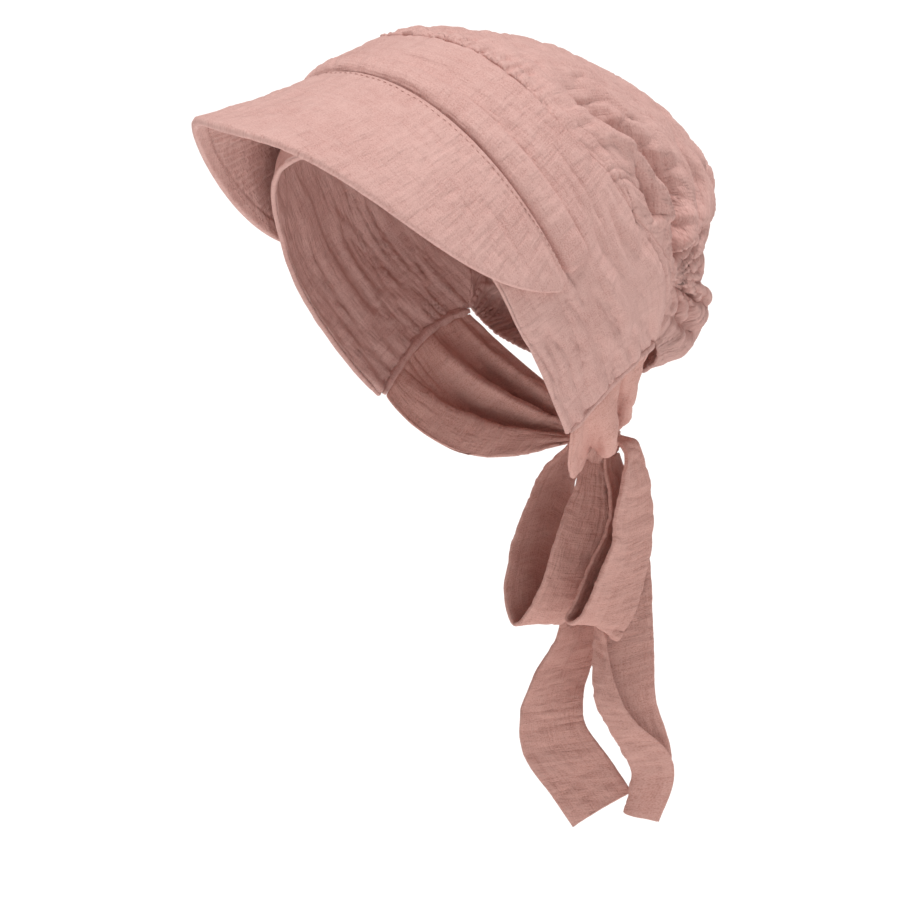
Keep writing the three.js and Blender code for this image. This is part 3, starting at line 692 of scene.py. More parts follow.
# Short folds that fan out from the rear corner of the band on each side. Angles are in
# degrees from level, up is negative; reach is in mm and depth is a share of foldDepth.
cornerFolds = table(
    "angle lean reach depth half",
    (-84, 3, 46, 0.4, 4),
    (-70, 8, 66, 0.6, 4.5),
    (-54, 8, 70, 0.65, 4.5),
    (-38, 2, 76, 0.7, 4.5),
    (-22, 0, 84, 0.65, 5),
    (-6, 0, 64, 0.5, 4.5),
    (10, 0, 90, 0.7, 5),
    (25, 4, 74, 0.6, 4.5),
    (40, 0, 64, 0.55, 4),
    (54, 4, 84, 0.65, 5.5),
    (70, 0, 66, 0.5, 4.5),
    (84, 0, 50, 0.35, 4),
)
# Long folds across each side of the bag, drawn through points of the cloth: c is a share
# from the middle to the side edge, s a share of the length, depth and half width in mm.
# A negative depth is a ridge, and crisp is how much steeper the side near the seam is.
foldColumns = "c s depth half crisp"
sideFolds = [
    table(foldColumns, (0.36, 0.11, 0, 6, 1), (0.5, 0.135, 5, 10, 1.6), (0.645, 0.155, 13, 14, 2.8),
          (0.735, 0.22, 21, 15, 3.6), (0.805, 0.298, 26, 16, 3.8), (0.868, 0.395, 26, 13, 3.4),
          (0.91, 0.48, 22, 9, 2.6), (0.935, 0.555, 15, 5, 2), (0.955, 0.62, 7, 3.5, 1.5)),
    table(foldColumns, (0.6, 0.1, 0, 6, 1), (0.715, 0.14, -3, 6, 1), (0.785, 0.195, -5, 7, 1),
          (0.845, 0.285, -6, 7, 1), (0.892, 0.365, -5, 6, 1), (0.935, 0.45, -3, 5, 1)),
    table(foldColumns, (0.78, 0.18, 0, 4, 1), (0.83, 0.225, 6, 6, 1.6), (0.885, 0.265, 12, 7, 2),
          (0.935, 0.335, 11, 6, 2), (0.96, 0.42, 4, 4, 1)),
    table(foldColumns, (0.56, 0.33, 1, 6, 1), (0.66, 0.42, 7, 8, 1.5), (0.75, 0.49, 12, 7, 2),
          (0.83, 0.55, 12, 5, 2), (0.9, 0.6, 9, 4, 1.8), (0.95, 0.635, 4, 3, 1)),
    table(foldColumns, (0.79, 0.4, 0, 5, 1), (0.85, 0.485, -4, 5, 1), (0.895, 0.555, -4, 4, 1),
          (0.94, 0.615, -2, 3, 1)),
    table(foldColumns, (0.33, 0.22, 0, 8, 1), (0.4, 0.36, 3, 9, 1), (0.48, 0.48, 4, 9, 1.3),
          (0.6, 0.58, 4, 8, 1.3), (0.8, 0.645, 2, 6, 1)),
    table(foldColumns, (0.98, 0.72, 1, 4, 1), (0.9, 0.755, 6, 5, 1.6), (0.78, 0.78, 6, 5, 1.6),
          (0.62, 0.8, 1, 4, 1)),
    table(foldColumns, (0.97, 0.84, 1, 4, 1), (0.86, 0.86, 4, 5, 1.4), (0.7, 0.87, 4.5, 6, 1.4),
          (0.5, 0.86, 1, 5, 1)),
]


def bagStart(u):
    length = np.linalg.norm(frontPoint(u) - rearPoint(u), axis=-1)
    return panelPoint(u, 1 + bag["seamGap"] / length, 0)


def bagPoint(c, s):
    c, s = np.broadcast_arrays(np.asarray(c, float), np.asarray(s, float))
    row = readRows(bagRows, s)
    side = bagStart(row["seam"])
    angle = c * math.pi / 2
    bend = 2 / row["square"]
    inward = np.abs(np.cos(angle)) ** bend
    p = places(np.sign(c) * side[..., 0] * np.abs(np.sin(angle)) ** bend,
               mix(side[..., 1], row["back"], inward), mix(side[..., 2], -row["drop"], inward))
    seam = bagStart(c * bagRows[0]["seam"])
    return mix(seam, p, smooth(s, 0, bag["seamRun"])[..., None])


def backFold(c, s):
    waist = mix(1, bag["foldShallow"], smooth(np.abs(s - waistAt), 0, bag["foldRun"]))
    depth = 0
    for fold in backFolds:
        bends = lumps(s * bag["foldBends"], c * 0, seeds["backFold"] + fold["across"])
        centre = fold["across"] + bag["backFoldWander"] * bends
        near = bump(c, centre, fold["half"])
        depth = depth + fold["depth"] * near * smooth(s, fold["fade"], fold["fade"] + bag["foldRun"])
    return depth * waist


def cornerFold(c, s):
    aside = (1 - np.abs(c)) * bag["around"] / 2
    down = (s - bag["cornerAt"]) * bag["length"]
    away = np.hypot(aside, down)
    angle = np.degrees(np.arctan2(down, aside))
    bends = lumps(away / bag["cornerBend"], np.sign(c) * 3 + s * 0, seeds["cornerFold"])
    angle = angle + bag["cornerWander"] * bends * smooth(away, *bag["cornerBendRun"])
    depth = 0
    for fold in cornerFolds:
        reach = fold["reach"]
        middle = fold["angle"] + fold["lean"] * smooth(away, bag["leanFrom"] * reach, reach)
        near = bump(angle, middle, fold["half"])
        far = 1 - smooth(away, bag["fadeFrom"] * reach, reach)
        depth = depth + fold["depth"] * near * far
    return depth * smooth(away, 0, bag["cornerGather"])


def sideFold(c, s, points):
    # depth of one long fold, from the nearest stretch of its line
    wander = bag["sideWander"] * lumps(c * bag["foldBends"], s * bag["foldBends"], seeds["sideFold"])
    x, y = np.abs(c) * bag["around"] / 2 + wander, s * bag["length"] + wander
    best, depth = 1e9 + 0 * x, 0 * x
    for a, b in zip(points[:-1], points[1:]):
        ax, ay = a["c"] * bag["around"] / 2, a["s"] * bag["length"]
        dx, dy = b["c"] * bag["around"] / 2 - ax, b["s"] * bag["length"] - ay
        t = np.clip(((x - ax) * dx + (y - ay) * dy) / (dx * dx + dy * dy), 0, 1)
        away = np.hypot(x - ax - t * dx, y - ay - t * dy)
        nearSeam = (x - ax) * dy - (y - ay) * dx > 0
        half = mix(a["half"], b["half"], t)
        half = np.where(nearSeam, half / mix(a["crisp"], b["crisp"], t), half)
        here = mix(a["depth"], b["depth"], t) * np.exp(-((away / half) ** 2))
        depth = np.where(away < best, here, depth)
        best = np.minimum(away, best)
    return depth


def bagFold(c, s):
    edges = smooth(1 - np.abs(c), 0, bag["foldSides"]) * smooth(1 - s, 0, bag["foldHem"])
    edges = edges * smooth(s, *bag["foldSeam"])
    long = sum(sideFold(c, s, points) for points in sideFolds)
    return (bag["foldDepth"] * (backFold(c, s) + cornerFold(c, s)) + long) * edges


def makeBag():
    edge = bag["wall"] / 2
    s = edgeRows(bag["length"], bag["grain"], edge)[:, None]
    c = 2 * edgeRows(bag["around"], bag["grain"], edge)[None, :] - 1
    base = bagPoint(c, s)
    out = -gridNormals(base)
    gathers = creases(c * bag["gathers"], s * bag["gatherBends"], seeds["bagGather"])
    across, along = bag["ruffles"]
    gathers = gathers + bag["ruffle"] * lumps(c * across, s * along, seeds["bagRuffle"])
    gathers = bag["gatherDepth"] * gathers * smooth(s, *bag["gatherStart"])
    gathers = gathers * (1 - smooth(s, *bag["gatherFade"]))
    gathers = gathers * mix(bag["gatherSides"], 1, 1 - smooth(np.abs(c), *bag["gatherThin"]))

    waistGathers = creases(c * bag["waistGathers"], s * bag["waistGatherBends"],
                           seeds["waistGather"])
    waistGathers = bag["waistGatherDepth"] * waistGathers * bump(s, waistAt, bag["waistGatherHalf"])
    puffs = bag["puffRise"] * lumps(c * bag["puffs"], s * bag["puffs"], seeds["puff"])
    across, along = bag["smallPuffs"]
    puffs = puffs + bag["smallPuffRise"] * lumps(c * across, s * along, seeds["smallPuff"])
    puffs = puffs * smooth(s, *bag["puffSeam"]) * smooth(1 - s, 0, bag["puffEdge"])
    rise = (gathers + waistGathers + puffs) * smooth(1 - np.abs(c), 0, bag["puffEdge"])
    middle = base + out * (edge - bagFold(c, s) + rise)[..., None]
    flat = flatMap(base)
    fine = gauze(flat, seeds["bag"], **bag["crinkle"])
    seam, hem, right, left = edgeDistance(flat)
    ends = np.minimum(right, left)
    body = smooth(seam, 0, edgeFade) * smooth(hem, 0, edgeFade) * smooth(ends, 0, edgeFade)
    middle = middle - gridNormals(middle) * (fine * body)[..., None]
    half = clothHalf(bag["fill"], edge, seam, hem, ends)
    return cloth("bagCloth", middle, flat, half, -1)


# Rolled seam along the sloping lower edge of the band
welt = {
    "radius": 2.2,
    "sides": 24,
    "length": 68,
    "grain": 1,
    "inset": 0.03,
    "endShare": 0.5,  # share of its radius that is left at its ends
    "endRun": 0.08,
    "roll": 0.14,
    "rolls": (15, 2),  # along it and round it
    "rollMiddle": 0.6,
    "bite": 0.7,  # how far the sewn cloths reach into it
}


def lowerEdge(side, v, below):
    edge = panelPoint(side, v, panel["wall"] / 2)
    out = unit(edge - panelPoint(0.98 * side, v, panel["wall"] / 2))
    return edge + out * below


def makeWelt(name, side):
    count = int(welt["length"] / welt["grain"])
    t = np.linspace(0, 1, count + 1)
    middle = lowerEdge(side, mix(welt["inset"], 1 - welt["inset"], t), welt["radius"] - welt["bite"])
    taper = mix(welt["endShare"], 1, smooth(np.minimum(t, 1 - t), 0, welt["endRun"]))
    turn = np.linspace(0, 1, welt["sides"] + 1)[:-1]
    along, about = welt["rolls"]
    roll = creases(t[:, None] * along + turn[None, :] * about, t[:, None] * 0 + 0.3,
                   seeds["weltRoll"] + side)
    radius = welt["radius"] * taper[:, None] * (1 + welt["roll"] * (roll - welt["rollMiddle"]))
    return tubePiece(name, middle, radius, welt["sides"])


# Knot, and the cloth that meets it
knot = {
    "middle": (0, 87, -193),
    "halfWidth": 11,
    "halfDepth": 10,
    "halfHeight": 12,
    "tuckedIn": 1.2,  # how deep the cloth ends lie under its surface
    "wraps": 6,
    "crease": 0.09,
    "twist": 3,
    "swell": 1.02,  # its size between the creases
    "tip": 0.002,  # share of its width at the very top and bottom
    "rings": 72,
    "sides": 96,
}
knotMiddle = np.array(knot["middle"], float)
knotSize = np.array([knot["halfWidth"], knot["halfDepth"], knot["halfHeight"]], float)


def knotSeat(p):
    away = p - knotMiddle
    reach = 1 / np.linalg.norm(unit(away) / knotSize) - knot["tuckedIn"]
    return knotMiddle + unit(away) * reach


def makeKnot():
    t = np.linspace(0, math.pi, knot["rings"] + 1)
    points = knotMiddle + np.stack([t * 0, t * 0, knot["halfHeight"] * np.cos(t)], axis=-1)
    turn = np.linspace(0, 2 * math.pi, knot["sides"] + 1)[:-1][None, :]
    level = np.cos(t)[:, None]
    wrap = np.cos(knot["wraps"] * turn + knot["twist"] * level)
    crease = knot["crease"] * (1 - 2 * np.abs(wrap) ** 0.5) * np.sin(t)[:, None] ** 0.5
    oval = 1 / np.hypot(np.cos(turn) / knot["halfDepth"], np.sin(turn) / knot["halfWidth"])
    radius = np.maximum(np.sin(t)[:, None], knot["tip"]) * oval * (knot["swell"] + crease)
    return tubePiece("knotCloth", points, radius, knot["sides"], aside=(0, 1, 0))


# Wide ties: their pleated roots, and below the loops and tails
tie = {
    "wall": 1.6,
    "rootFill": 0.9,
    "width": 44,
    "bendRadius": 2.6,
    "rootWidth": 110,  # along its pleats
    "rootEndWidth": 17,
    "rootLength": 45,
    "pleatDepth": 15,
    "pleatSkew": 0.8,  # under 1, they hang deepest nearer the welt
    "rootFade": (2, 3),  # at the welt and at the knot, over which its relief grows
    "rootCreases": 16,
    "rootCreaseBends": 3,
    "rootCreaseRise": 0.5,
    "rootCrinkle": {"across": 0.2, "along": 0.1, "soft": 0.5},
    "grain": 1.1,
}
# The pleats across a root, in shares of pleatDepth down and out
rootPleats = table(
    "at droop out",
    (0, 1.1, -0.2),
    (0.07, 1.2, -0.28),
    (0.15, 0.5, -0.1),
    (0.28, 1.15, 0.3),
    (0.4, 1.05, 0.25),
    (0.51, 0.3, -0.4),
    (0.65, 0.9, 0.15),
    (0.77, 0.6, 0),
    (0.85, 0.15, -0.35),
    (0.93, 0.3, -0.1),
    (1, 0.1, 0),
)


def makeRoot(name, side):
    edge = tie["wall"] / 2
    reach = 2 * welt["radius"] - 2 * welt["bite"]

    def start(x):
        return lowerEdge(side, mix(welt["inset"], 1 - welt["inset"], x), reach)

    mid = start(np.array(0.5))
    toward = unit(mid - knotMiddle)
    across = start(np.array(1.0)) - start(np.array(0.0))
    across = unit(across - toward * (across @ toward))
    away = unit(np.array([side * abs(toward[1]), abs(toward[0]), 0.0]))
    x = edgeRows(tie["rootWidth"], tie["grain"], edge)[None, :]
    y = edgeRows(tie["rootLength"], tie["grain"], edge)[:, None]
    pleat = readRows(rootPleats, x)
    bulge = tie["pleatDepth"] * np.sin(math.pi * y ** tie["pleatSkew"])
    end = knotSeat(mid) + across * ((x - 0.5) * tie["rootEndWidth"])[..., None]
    middle = mix(start(x), end, y[..., None]) + away * (pleat["out"] * bulge)[..., None]
    middle[..., 2] -= pleat["droop"] * bulge
    flat = flatMap(middle)
    rise = gauze(flat, seeds["root"] + side, **tie["rootCrinkle"])
    fine = creases(x * tie["rootCreases"], y * tie["rootCreaseBends"], seeds["rootCrease"] + side)
    rise = rise + tie["rootCreaseRise"] * fine
    first, last, right, left = edgeDistance(flat)
    ends = np.minimum(right, left)
    atWelt, atKnot = tie["rootFade"]
    body = smooth(first, 0, atWelt) * smooth(last, 0, atKnot) * smooth(ends, 0, edgeFade)
    middle = middle + gridNormals(middle) * (rise * body)[..., None]
    half = clothHalf(tie["rootFill"], edge, first, last, ends)
    return cloth(name, middle, flat, half, 1)


# Centre lines of the loops and tails, measured from the middle of the knot: side, back and
# drop are shares of their spread and drop, width is a share of the tie's. Yaw, pitch and
# bend are in degrees, and split is the share of the width before the lengthwise bend.
ribbonColumns = "at side back drop width yaw pitch bend split"
leftLoop = table(ribbonColumns,
    (0, 0.48, 0.04, -0.03, 0.28, 106, 0, 4, 0.5),
    (0.1, 0.7, 0.08, 0.02, 0.36, 106, 0, 4, 0.5),
    (0.24, 0.76, 0.09, 0.27, 0.8, 106, 0, 4, 0.5),
    (0.37, 0.75, 0.02, 0.53, 0.92, 103, -6, 8, 0.5),
    (0.46, 0.71, -0.27, 0.73, 0.95, 98, -14, 10, 0.5),
    (0.52, 0.62, -0.5, 0.88, 0.88, 95, -20, 8, 0.5),
    (0.57, 0.46, -0.56, 0.93, 0.82, 94, -22, 4, 0.5),
    (0.62, 0.37, -0.42, 0.86, 0.8, 95, -18, 4, 0.5),
    (0.8, 0.46, 0.15, 0.46, 0.6, 100, -4, 2, 0.5),
    (1, 0.37, 0.12, 0.1, 0.28, 100, 0, 4, 0.5),
)
rightLoop = table(ribbonColumns,
    (0, 0.12, -0.28, 0.145, 0.26, 60, 0, 4, 0.5),
    (0.12, 0.18, -0.37, 0.26, 0.38, 62, 0, 6, 0.5),
    (0.2, 0.19, -0.46, 0.35, 0.5, 66, 0, 8, 0.5),
    (0.29, 0.16, -0.68, 0.5, 0.6, 72, -4, 8, 0.5),
    (0.38, 0.04, -0.87, 0.69, 0.65, 80, -8, 8, 0.5),
    (0.46, -0.18, -1, 0.86, 0.68, 84, -10, 6, 0.5),
    (0.53, -0.46, -1.06, 0.93, 0.68, 86, -10, 4, 0.5),
    (0.62, -0.73, -0.92, 0.78, 0.72, 88, -6, 6, 0.5),
    (0.78, -0.81, -0.42, 0.45, 0.75, 88, 0, 8, 0.5),
    (0.92, -0.69, -0.12, 0.16, 0.5, 88, 0, 6, 0.5),
    (1, -0.46, -0.04, 0.02, 0.28, 90, 0, 4, 0.5),
)
leftTail = table(ribbonColumns,
    (0, 0.12, 0.21, 0.067, 0.26, 96, 0, 4, 0.4),
    (0.13, 0.19, 0.37, 0.2, 0.5, 98, 0, 20, 0.3),
    (0.3, 0.23, 0.42, 0.36, 0.72, 112, 0, 50, 0.22),
    (0.46, 0.33, 0.27, 0.54, 0.9, 128, 0, 72, 0.22),
    (0.6, 0.57, 0.13, 0.68, 0.95, 132, 0, 80, 0.32),
    (0.8, 0.73, 0.53, 0.85, 1, 134, 0, 80, 0.5),
    (1, 0.67, 0.4, 0.99, 0.8, 130, 0, 80, 0.5),
)
rightTail = table(ribbonColumns,
    (0, -0.07, -0.02, 0.063, 0.3, 94, 0, 4, 0.5),
    (0.13, -0.2, 0.13, 0.2, 0.48, 90, 0, 6, 0.5),
    (0.3, -0.37, 0.2, 0.37, 0.58, 88, 0, 8, 0.5),
    (0.46, -0.47, 0.08, 0.54, 0.6, 80, 0, 10, 0.5),
    (0.6, -0.6, -0.27, 0.68, 0.68, 66, 0, 12, 0.5),
    (0.76, -0.6, -0.27, 0.8, 0.75, 56, 0, 10, 0.5),
    (0.9, -0.33, 0.07, 0.91, 0.75, 48, 0, 8, 0.5),
    (1, -0.1, 0.33, 1, 0.75, 44, 0, 6, 0.5),
)


ribbonPieces = table(
    "node rows spread drop returns length seed",
    ("bow_loop_left", leftLoop, 26, 90, True, 170, 101),
    ("bow_loop_right", rightLoop, 26, 90, True, 170, 121),
    ("bow_tail_left", leftTail, 30, 182, False, 180, 141),
    ("bow_tail_right", rightTail, 30, 182, False, 180, 161),
)
ribbonLook = {
    "fill": 0.85,
    "pullRun": 0.12,  # share of its length over which an end is drawn to the knot
    "heldRun": 9,  # length beside the knot that the knot keeps smooth
    "crinkle": {"across": 0.25, "along": 0.12, "soft": 0.35},
    "rumple": 1.1,
    "rumpleLength": 17,
    "rumpleBends": 0.8,  # from the middle of its width to a side
    "crossCrease": 0.3,
    "creaseLength": 7,
    "creaseBends": 0.6,
    "wander": 2,
    "wanderBends": (1.7, 9),
    "turnAt": 0.56,  # where a loop turns back, and how much smoother it is there
    "turnHalf": 0.07,
    "turnCalm": 0.7,
    "hem": 4,
    "hemRise": 0.3,
    "hemStep": 0.6,
}


def bentSection(run, bend):
    # how far a point `run` from the bend lies sideways and behind the bend
    arc = tie["bendRadius"] * bend
    beyond = np.maximum(np.abs(run) - arc, 0)
    turn = np.minimum(np.abs(run) / tie["bendRadius"], bend)
    aside = np.sign(run) * (tie["bendRadius"] * np.sin(turn) + beyond * np.cos(bend))
    return aside, tie["bendRadius"] * (1 - np.cos(turn)) + beyond * np.sin(bend)


def ribbonGrid(ribbon, x, t):
    rows, spread, drop = ribbon["rows"], ribbon["spread"], ribbon["drop"]

    def free(at):
        row = readRows(rows, at)
        return knotMiddle + places(row["side"] * spread, row["back"] * spread, -row["drop"] * drop)

    pull = [knotSeat(free(np.array(end))) - free(np.array(end)) for end in (0.0, 1.0)]
    if not ribbon["returns"]:
        pull[1] = pull[1] * 0

    def centre(at):
        start = (1 - smooth(at, 0, ribbonLook["pullRun"]))[..., None]
        end = smooth(at, 1 - ribbonLook["pullRun"], 1)[..., None]
        return free(at) + pull[0] * start + pull[1] * end

    row = readRows(rows, t)
    yaw, bend = np.radians(row["yaw"]), np.radians(row["bend"])
    over = places(np.cos(yaw), np.sin(yaw), np.tan(np.radians(row["pitch"])))
    along = unit(centre(np.minimum(t + smallStep, 1)) - centre(np.maximum(t - smallStep, 0)))
    over = unit(over - along * (over * along).sum(axis=-1, keepdims=True))
    face = np.cross(along, over)
    before = row["split"] * row["width"] * tie["width"]
    after = (1 - row["split"]) * row["width"] * tie["width"]
    run = np.where(x < 0, x * before, x * after)
    aside, behind = bentSection(run, bend)
    firstAside, firstBehind = bentSection(-before, bend)
    lastAside, lastBehind = bentSection(after, bend)
    aside = aside - (firstAside + lastAside) / 2
    behind = behind - np.maximum(firstBehind, lastBehind) / 2
    return centre(t) + over * aside[..., None] + face * behind[..., None]


def makeRibbon(ribbon):
    edge = tie["wall"] / 2
    look, seed = ribbonLook, ribbon["seed"]
    t = edgeRows(ribbon["length"], tie["grain"], edge)[:, None]
    x = 2 * edgeRows(tie["width"], tie["grain"], edge)[None, :] - 1
    middle = ribbonGrid(ribbon, x, t)
    flat = flatMap(middle)
    first, last, right, left = edgeDistance(flat)
    sides = np.minimum(right, left)
    rise = gauze(flat, seed, **look["crinkle"])
    across, along = look["wanderBends"]
    run = t * ribbon["length"] + look["wander"] * lumps(x * across, t * along, seed + 9)
    rumple = lumps(x * look["rumpleBends"], run / look["rumpleLength"], seed + 10)
    crease = creases(x * look["creaseBends"], run / look["creaseLength"], seed + 11)
    rise = rise + look["rumple"] * rumple + look["crossCrease"] * crease
    held = smooth(first, 0, look["heldRun"])
    if ribbon["returns"]:
        held = held * smooth(last, 0, look["heldRun"])
        rise = rise * (1 - look["turnCalm"] * bump(t, look["turnAt"], look["turnHalf"]))
    middle = middle + gridNormals(middle) * (rise * held)[..., None]
    half = clothHalf(look["fill"], edge, first, last, sides)
    hemEdges = sides if ribbon["returns"] else np.minimum(sides, last)
    hem = (1 - smooth(hemEdges, look["hem"] - look["hemStep"], look["hem"] + look["hemStep"])) * held
    extra = look["hemRise"] * (hem - bump(hemEdges, look["hem"], look["hemStep"]) * held)
    return cloth("cloth." + ribbon["node"], middle, flat, half, 1, extra, extra)


# Sewing thread, drawn as separate stitches
stitch = {
    "length": 2.3,
    "gap": 0.8,
    "radius": 0.18,
    "endShare": 0.06,  # share of its length by which its blunt ends are cut
    "arch": 2.4,  # in radii, from ends that lie one radius under the cloth
    "sides": 6,
    "rings": 6,
    "fromEnds": 4,  # mesh rows of the cloth that a line leaves free at each end
}


def makeStitches(name, path, normals):
    # path is a line on the cloth, with the cloth's normals along it
    steps = np.linspace(0, 1, stitch["rings"])
    turn = np.linspace(0, 2 * math.pi, stitch["sides"] + 1)[:-1]
    pitch = stitch["length"] + stitch["gap"]
    run = np.concatenate([[0], np.cumsum(np.linalg.norm(np.diff(path, axis=0), axis=-1))])
    verts, faces, base = [], [], 0
    for k in range(int(run[-1] // pitch)):
        at = k * pitch + steps * stitch["length"]
        line = np.stack([np.interp(at, run, path[:, j]) for j in range(3)], axis=-1)
        up = unit(np.stack([np.interp(at, run, normals[:, j]) for j in range(3)], axis=-1))
        lift = stitch["radius"] * (stitch["arch"] * np.sin(math.pi * steps) - 1)
        line = line + up * lift[:, None]
        over = unit(np.cross(up, np.gradient(line, axis=0)))
        blunt = np.sin(math.pi * np.clip(steps, stitch["endShare"], 1 - stitch["endShare"])) ** 0.5
        ring = (over[:, None] * np.cos(turn)[None, :, None]
                + up[:, None] * np.sin(turn)[None, :, None]) * (stitch["radius"] * blunt)[:, None, None]
        verts.append((line[:, None] + ring).reshape(-1, 3))
        ids = base + np.arange(len(steps) * stitch["sides"]).reshape(len(steps), -1)
        after = np.roll(ids, -1, axis=1)
        walls = np.stack([ids[:-1], after[:-1], after[1:], ids[1:]], axis=-1)
        faces += walls.reshape(-1, 4).tolist() + [ids[0][::-1].tolist(), ids[-1].tolist()]
        base += ids.size
    points = np.concatenate(verts)
    return meshFrom(name, points, faces, points[:, :2])


def visorRow(name, face, share):
    # stitches along the visor, on its outer or inner face, at a share of its depth
    grid = surfaces["visorCloth"][face]
    normals = surfaces["visorCloth"]["normals"] * (1 if face == "outer" else -1)
    row = int(np.argmin(np.abs(surfaces["visorCloth"]["shares"] - share)))
    inner = slice(stitch["fromEnds"], -stitch["fromEnds"])
    return makeStitches(name, grid[row, inner], normals[row, inner])


# Materials
def linear(hexColour):
    # sRGB hex to the linear values that the shader takes
    parts = [int(hexColour[k:k + 2], 16) / 255 for k in (1, 3, 5)]
    return [c / 12.92 if c <= 0.04045 else ((c + 0.055) / 1.055) ** 2.4 for c in parts] + [1]


def addNode(tree, kind, settings=None, links=None):
    # settings name attributes or input sockets, links join an input to an output
    node = tree.nodes.new(kind)
    for key, value in (settings or {}).items():
        if isinstance(key, str) and hasattr(node, key):
            setattr(node, key, value)
        else:
            node.inputs[key].default_value = value
    for key, source in (links or {}).items():
        tree.links.new(source, node.inputs[key])
    return node


# Cotton double gauze, two loose plain weaves tacked together and shrunk in the wash: a
# matte, slightly fuzzy cloth with soft tucks about 4 mm apart and a fine thread pattern.
# Its colour is painted darker in the hollows of the tucks and lighter on their crests and
# on the slubs, as painted shade and painted highlight; the fine grain is partly the
# fibres' own speckle and partly painted shade and highlight, and the broad patches are
# its own uneven tone.
gauzeFinish = {
    "base": "#d0a69e",
    # painted shade, for the hollows of the tucks
    "paintedTuckShade": "#bd8c84",
    # painted highlight on raised cloth, also the tint of the sheen
    "paintedHighlightAndSheen": "#dbb4ac",
    "roughness": 0.94,
    "ior": 1.53,
    "sheen": 0.25,
    "threadSpacing": 0.9,  # mm; the real threads stand 0.5 mm apart, too fine for the render
    "tuckLength": 12,  # mm
    "tuckWidth": 3.4,
    "slubLength": 14,  # mm, of the uneven thicker threads
    "slubWidth": 0.8,
    "grain": 0.6,  # mm, of the fibres' speckle
    "patch": 40,  # mm, of the faint random change of tone
    "tuckShade": 0.25,
    "slubShade": 0.2,
    "grainShade": 1.0,
    "patchShade": 0.3,
    "shadeRange": (0.2, 0.8),  # where in the mixed pattern the painted tuck shade and the painted highlight stand
    "threadHeight": 0.06,
    "tuckHeight": 1.3,
    "slubHeight": 0.3,
    "grainHeight": 0.2,
    "relief": 0.8,
}
oneBand = 0.314  # scale at which the wave texture has one band to each unit


def makeGauze(name, finish):
    material = bpy.data.materials.new(name)
    material.use_nodes = True
    tree = material.node_tree
    tree.nodes.clear()
    uv = addNode(tree, "ShaderNodeUVMap", {"uv_map": "cloth"}).outputs["UV"]

    def pattern(kind, width, length, settings):
        scale = (1 / (width * mm), 1 / (length * mm), 1)
        laid = addNode(tree, "ShaderNodeMapping", {"Scale": scale}, {"Vector": uv})
        return addNode(tree, kind, settings, {"Vector": laid.outputs["Vector"]})

    def maths(operation, a, b):
        links = {k: v for k, v in enumerate((a, b)) if not isinstance(v, (int, float))}
        fixed = {k: v for k, v in enumerate((a, b)) if isinstance(v, (int, float))}
        node = addNode(tree, "ShaderNodeMath", {"operation": operation, **fixed}, links)
        return node.outputs[0]

    spacing = finish["threadSpacing"]
    waveLook = {"wave_type": "BANDS", "Scale": oneBand, "Distortion": 1.1, "Detail": 1.5,
                "Detail Scale": 1.6}
    warp = pattern("ShaderNodeTexWave", spacing, spacing, {**waveLook, "bands_direction": "X"})
    weft = pattern("ShaderNodeTexWave", spacing, spacing, {**waveLook, "bands_direction": "Y"})

    def uneven(width, length, detail=2):
        node = pattern("ShaderNodeTexNoise", width, length,
                       {"Scale": 1, "Detail": detail, "Roughness": 0.5})
        return maths("SUBTRACT", node.outputs["Fac"], 0.5)

    tucks = maths("ADD", uneven(finish["tuckLength"], finish["tuckWidth"]),
                  uneven(finish["tuckWidth"], finish["tuckLength"]))
    slubs = maths("ADD", uneven(finish["slubLength"], finish["slubWidth"]),
                  uneven(finish["slubWidth"], finish["slubLength"]))
    grain = uneven(finish["grain"], finish["grain"])
    patch = uneven(finish["patch"], finish["patch"], 1)
    threads = maths("MULTIPLY", warp.outputs["Fac"], weft.outputs["Fac"])

    def blend(*parts):
        total = 0
        for source, weight in parts:
            total = maths("ADD", maths("MULTIPLY", source, weight), total)
        return total

    # The mixed pattern: where tucks, slubs and grain raise the relief, the colour goes toward the
    # painted highlight, and where they lower it, toward the painted shade; the patch changes the tone at
    # random.
    shade = blend((tucks, finish["tuckShade"]), (slubs, finish["slubShade"]),
                  (grain, finish["grainShade"]), (patch, finish["patchShade"]))
    ramp = addNode(tree, "ShaderNodeValToRGB", None, {"Fac": maths("ADD", shade, 0.5)})
    stops = ramp.color_ramp.elements
    for stop, place, colour in zip(stops, finish["shadeRange"], ("paintedTuckShade", "paintedHighlightAndSheen")):
        stop.position = place
        stop.color = linear(finish[colour])
    stops.new(0.5).color = linear(finish["base"])
    height = blend((threads, finish["threadHeight"]), (tucks, finish["tuckHeight"]),
                   (slubs, finish["slubHeight"]), (grain, finish["grainHeight"]))
    relief = addNode(tree, "ShaderNodeBump", {"Strength": finish["relief"], "Distance": mm},
                     {"Height": height})
    shader = addNode(tree, "ShaderNodeBsdfPrincipled", {
        "Roughness": finish["roughness"],
        "IOR": finish["ior"],
        "Sheen Weight": finish["sheen"],
        "Sheen Roughness": 0.5,
        "Sheen Tint": linear(finish["paintedHighlightAndSheen"]),
    }, {"Base Color": ramp.outputs["Color"], "Normal": relief.outputs["Normal"]})
    addNode(tree, "ShaderNodeOutputMaterial", None, {"Surface": shader.outputs["BSDF"]})
    return material


# Spun cotton sewing thread, a shade darker than the cloth: matte with a fine twist
threadFinish = {
    "base": "#c2948b",
    "dark": "#b08279",
    "roughness": 0.8,
    "ior": 1.53,
    "twist": 0.6,  # mm
    "relief": 0.5,
    "reliefHeight": 0.1,  # mm
}


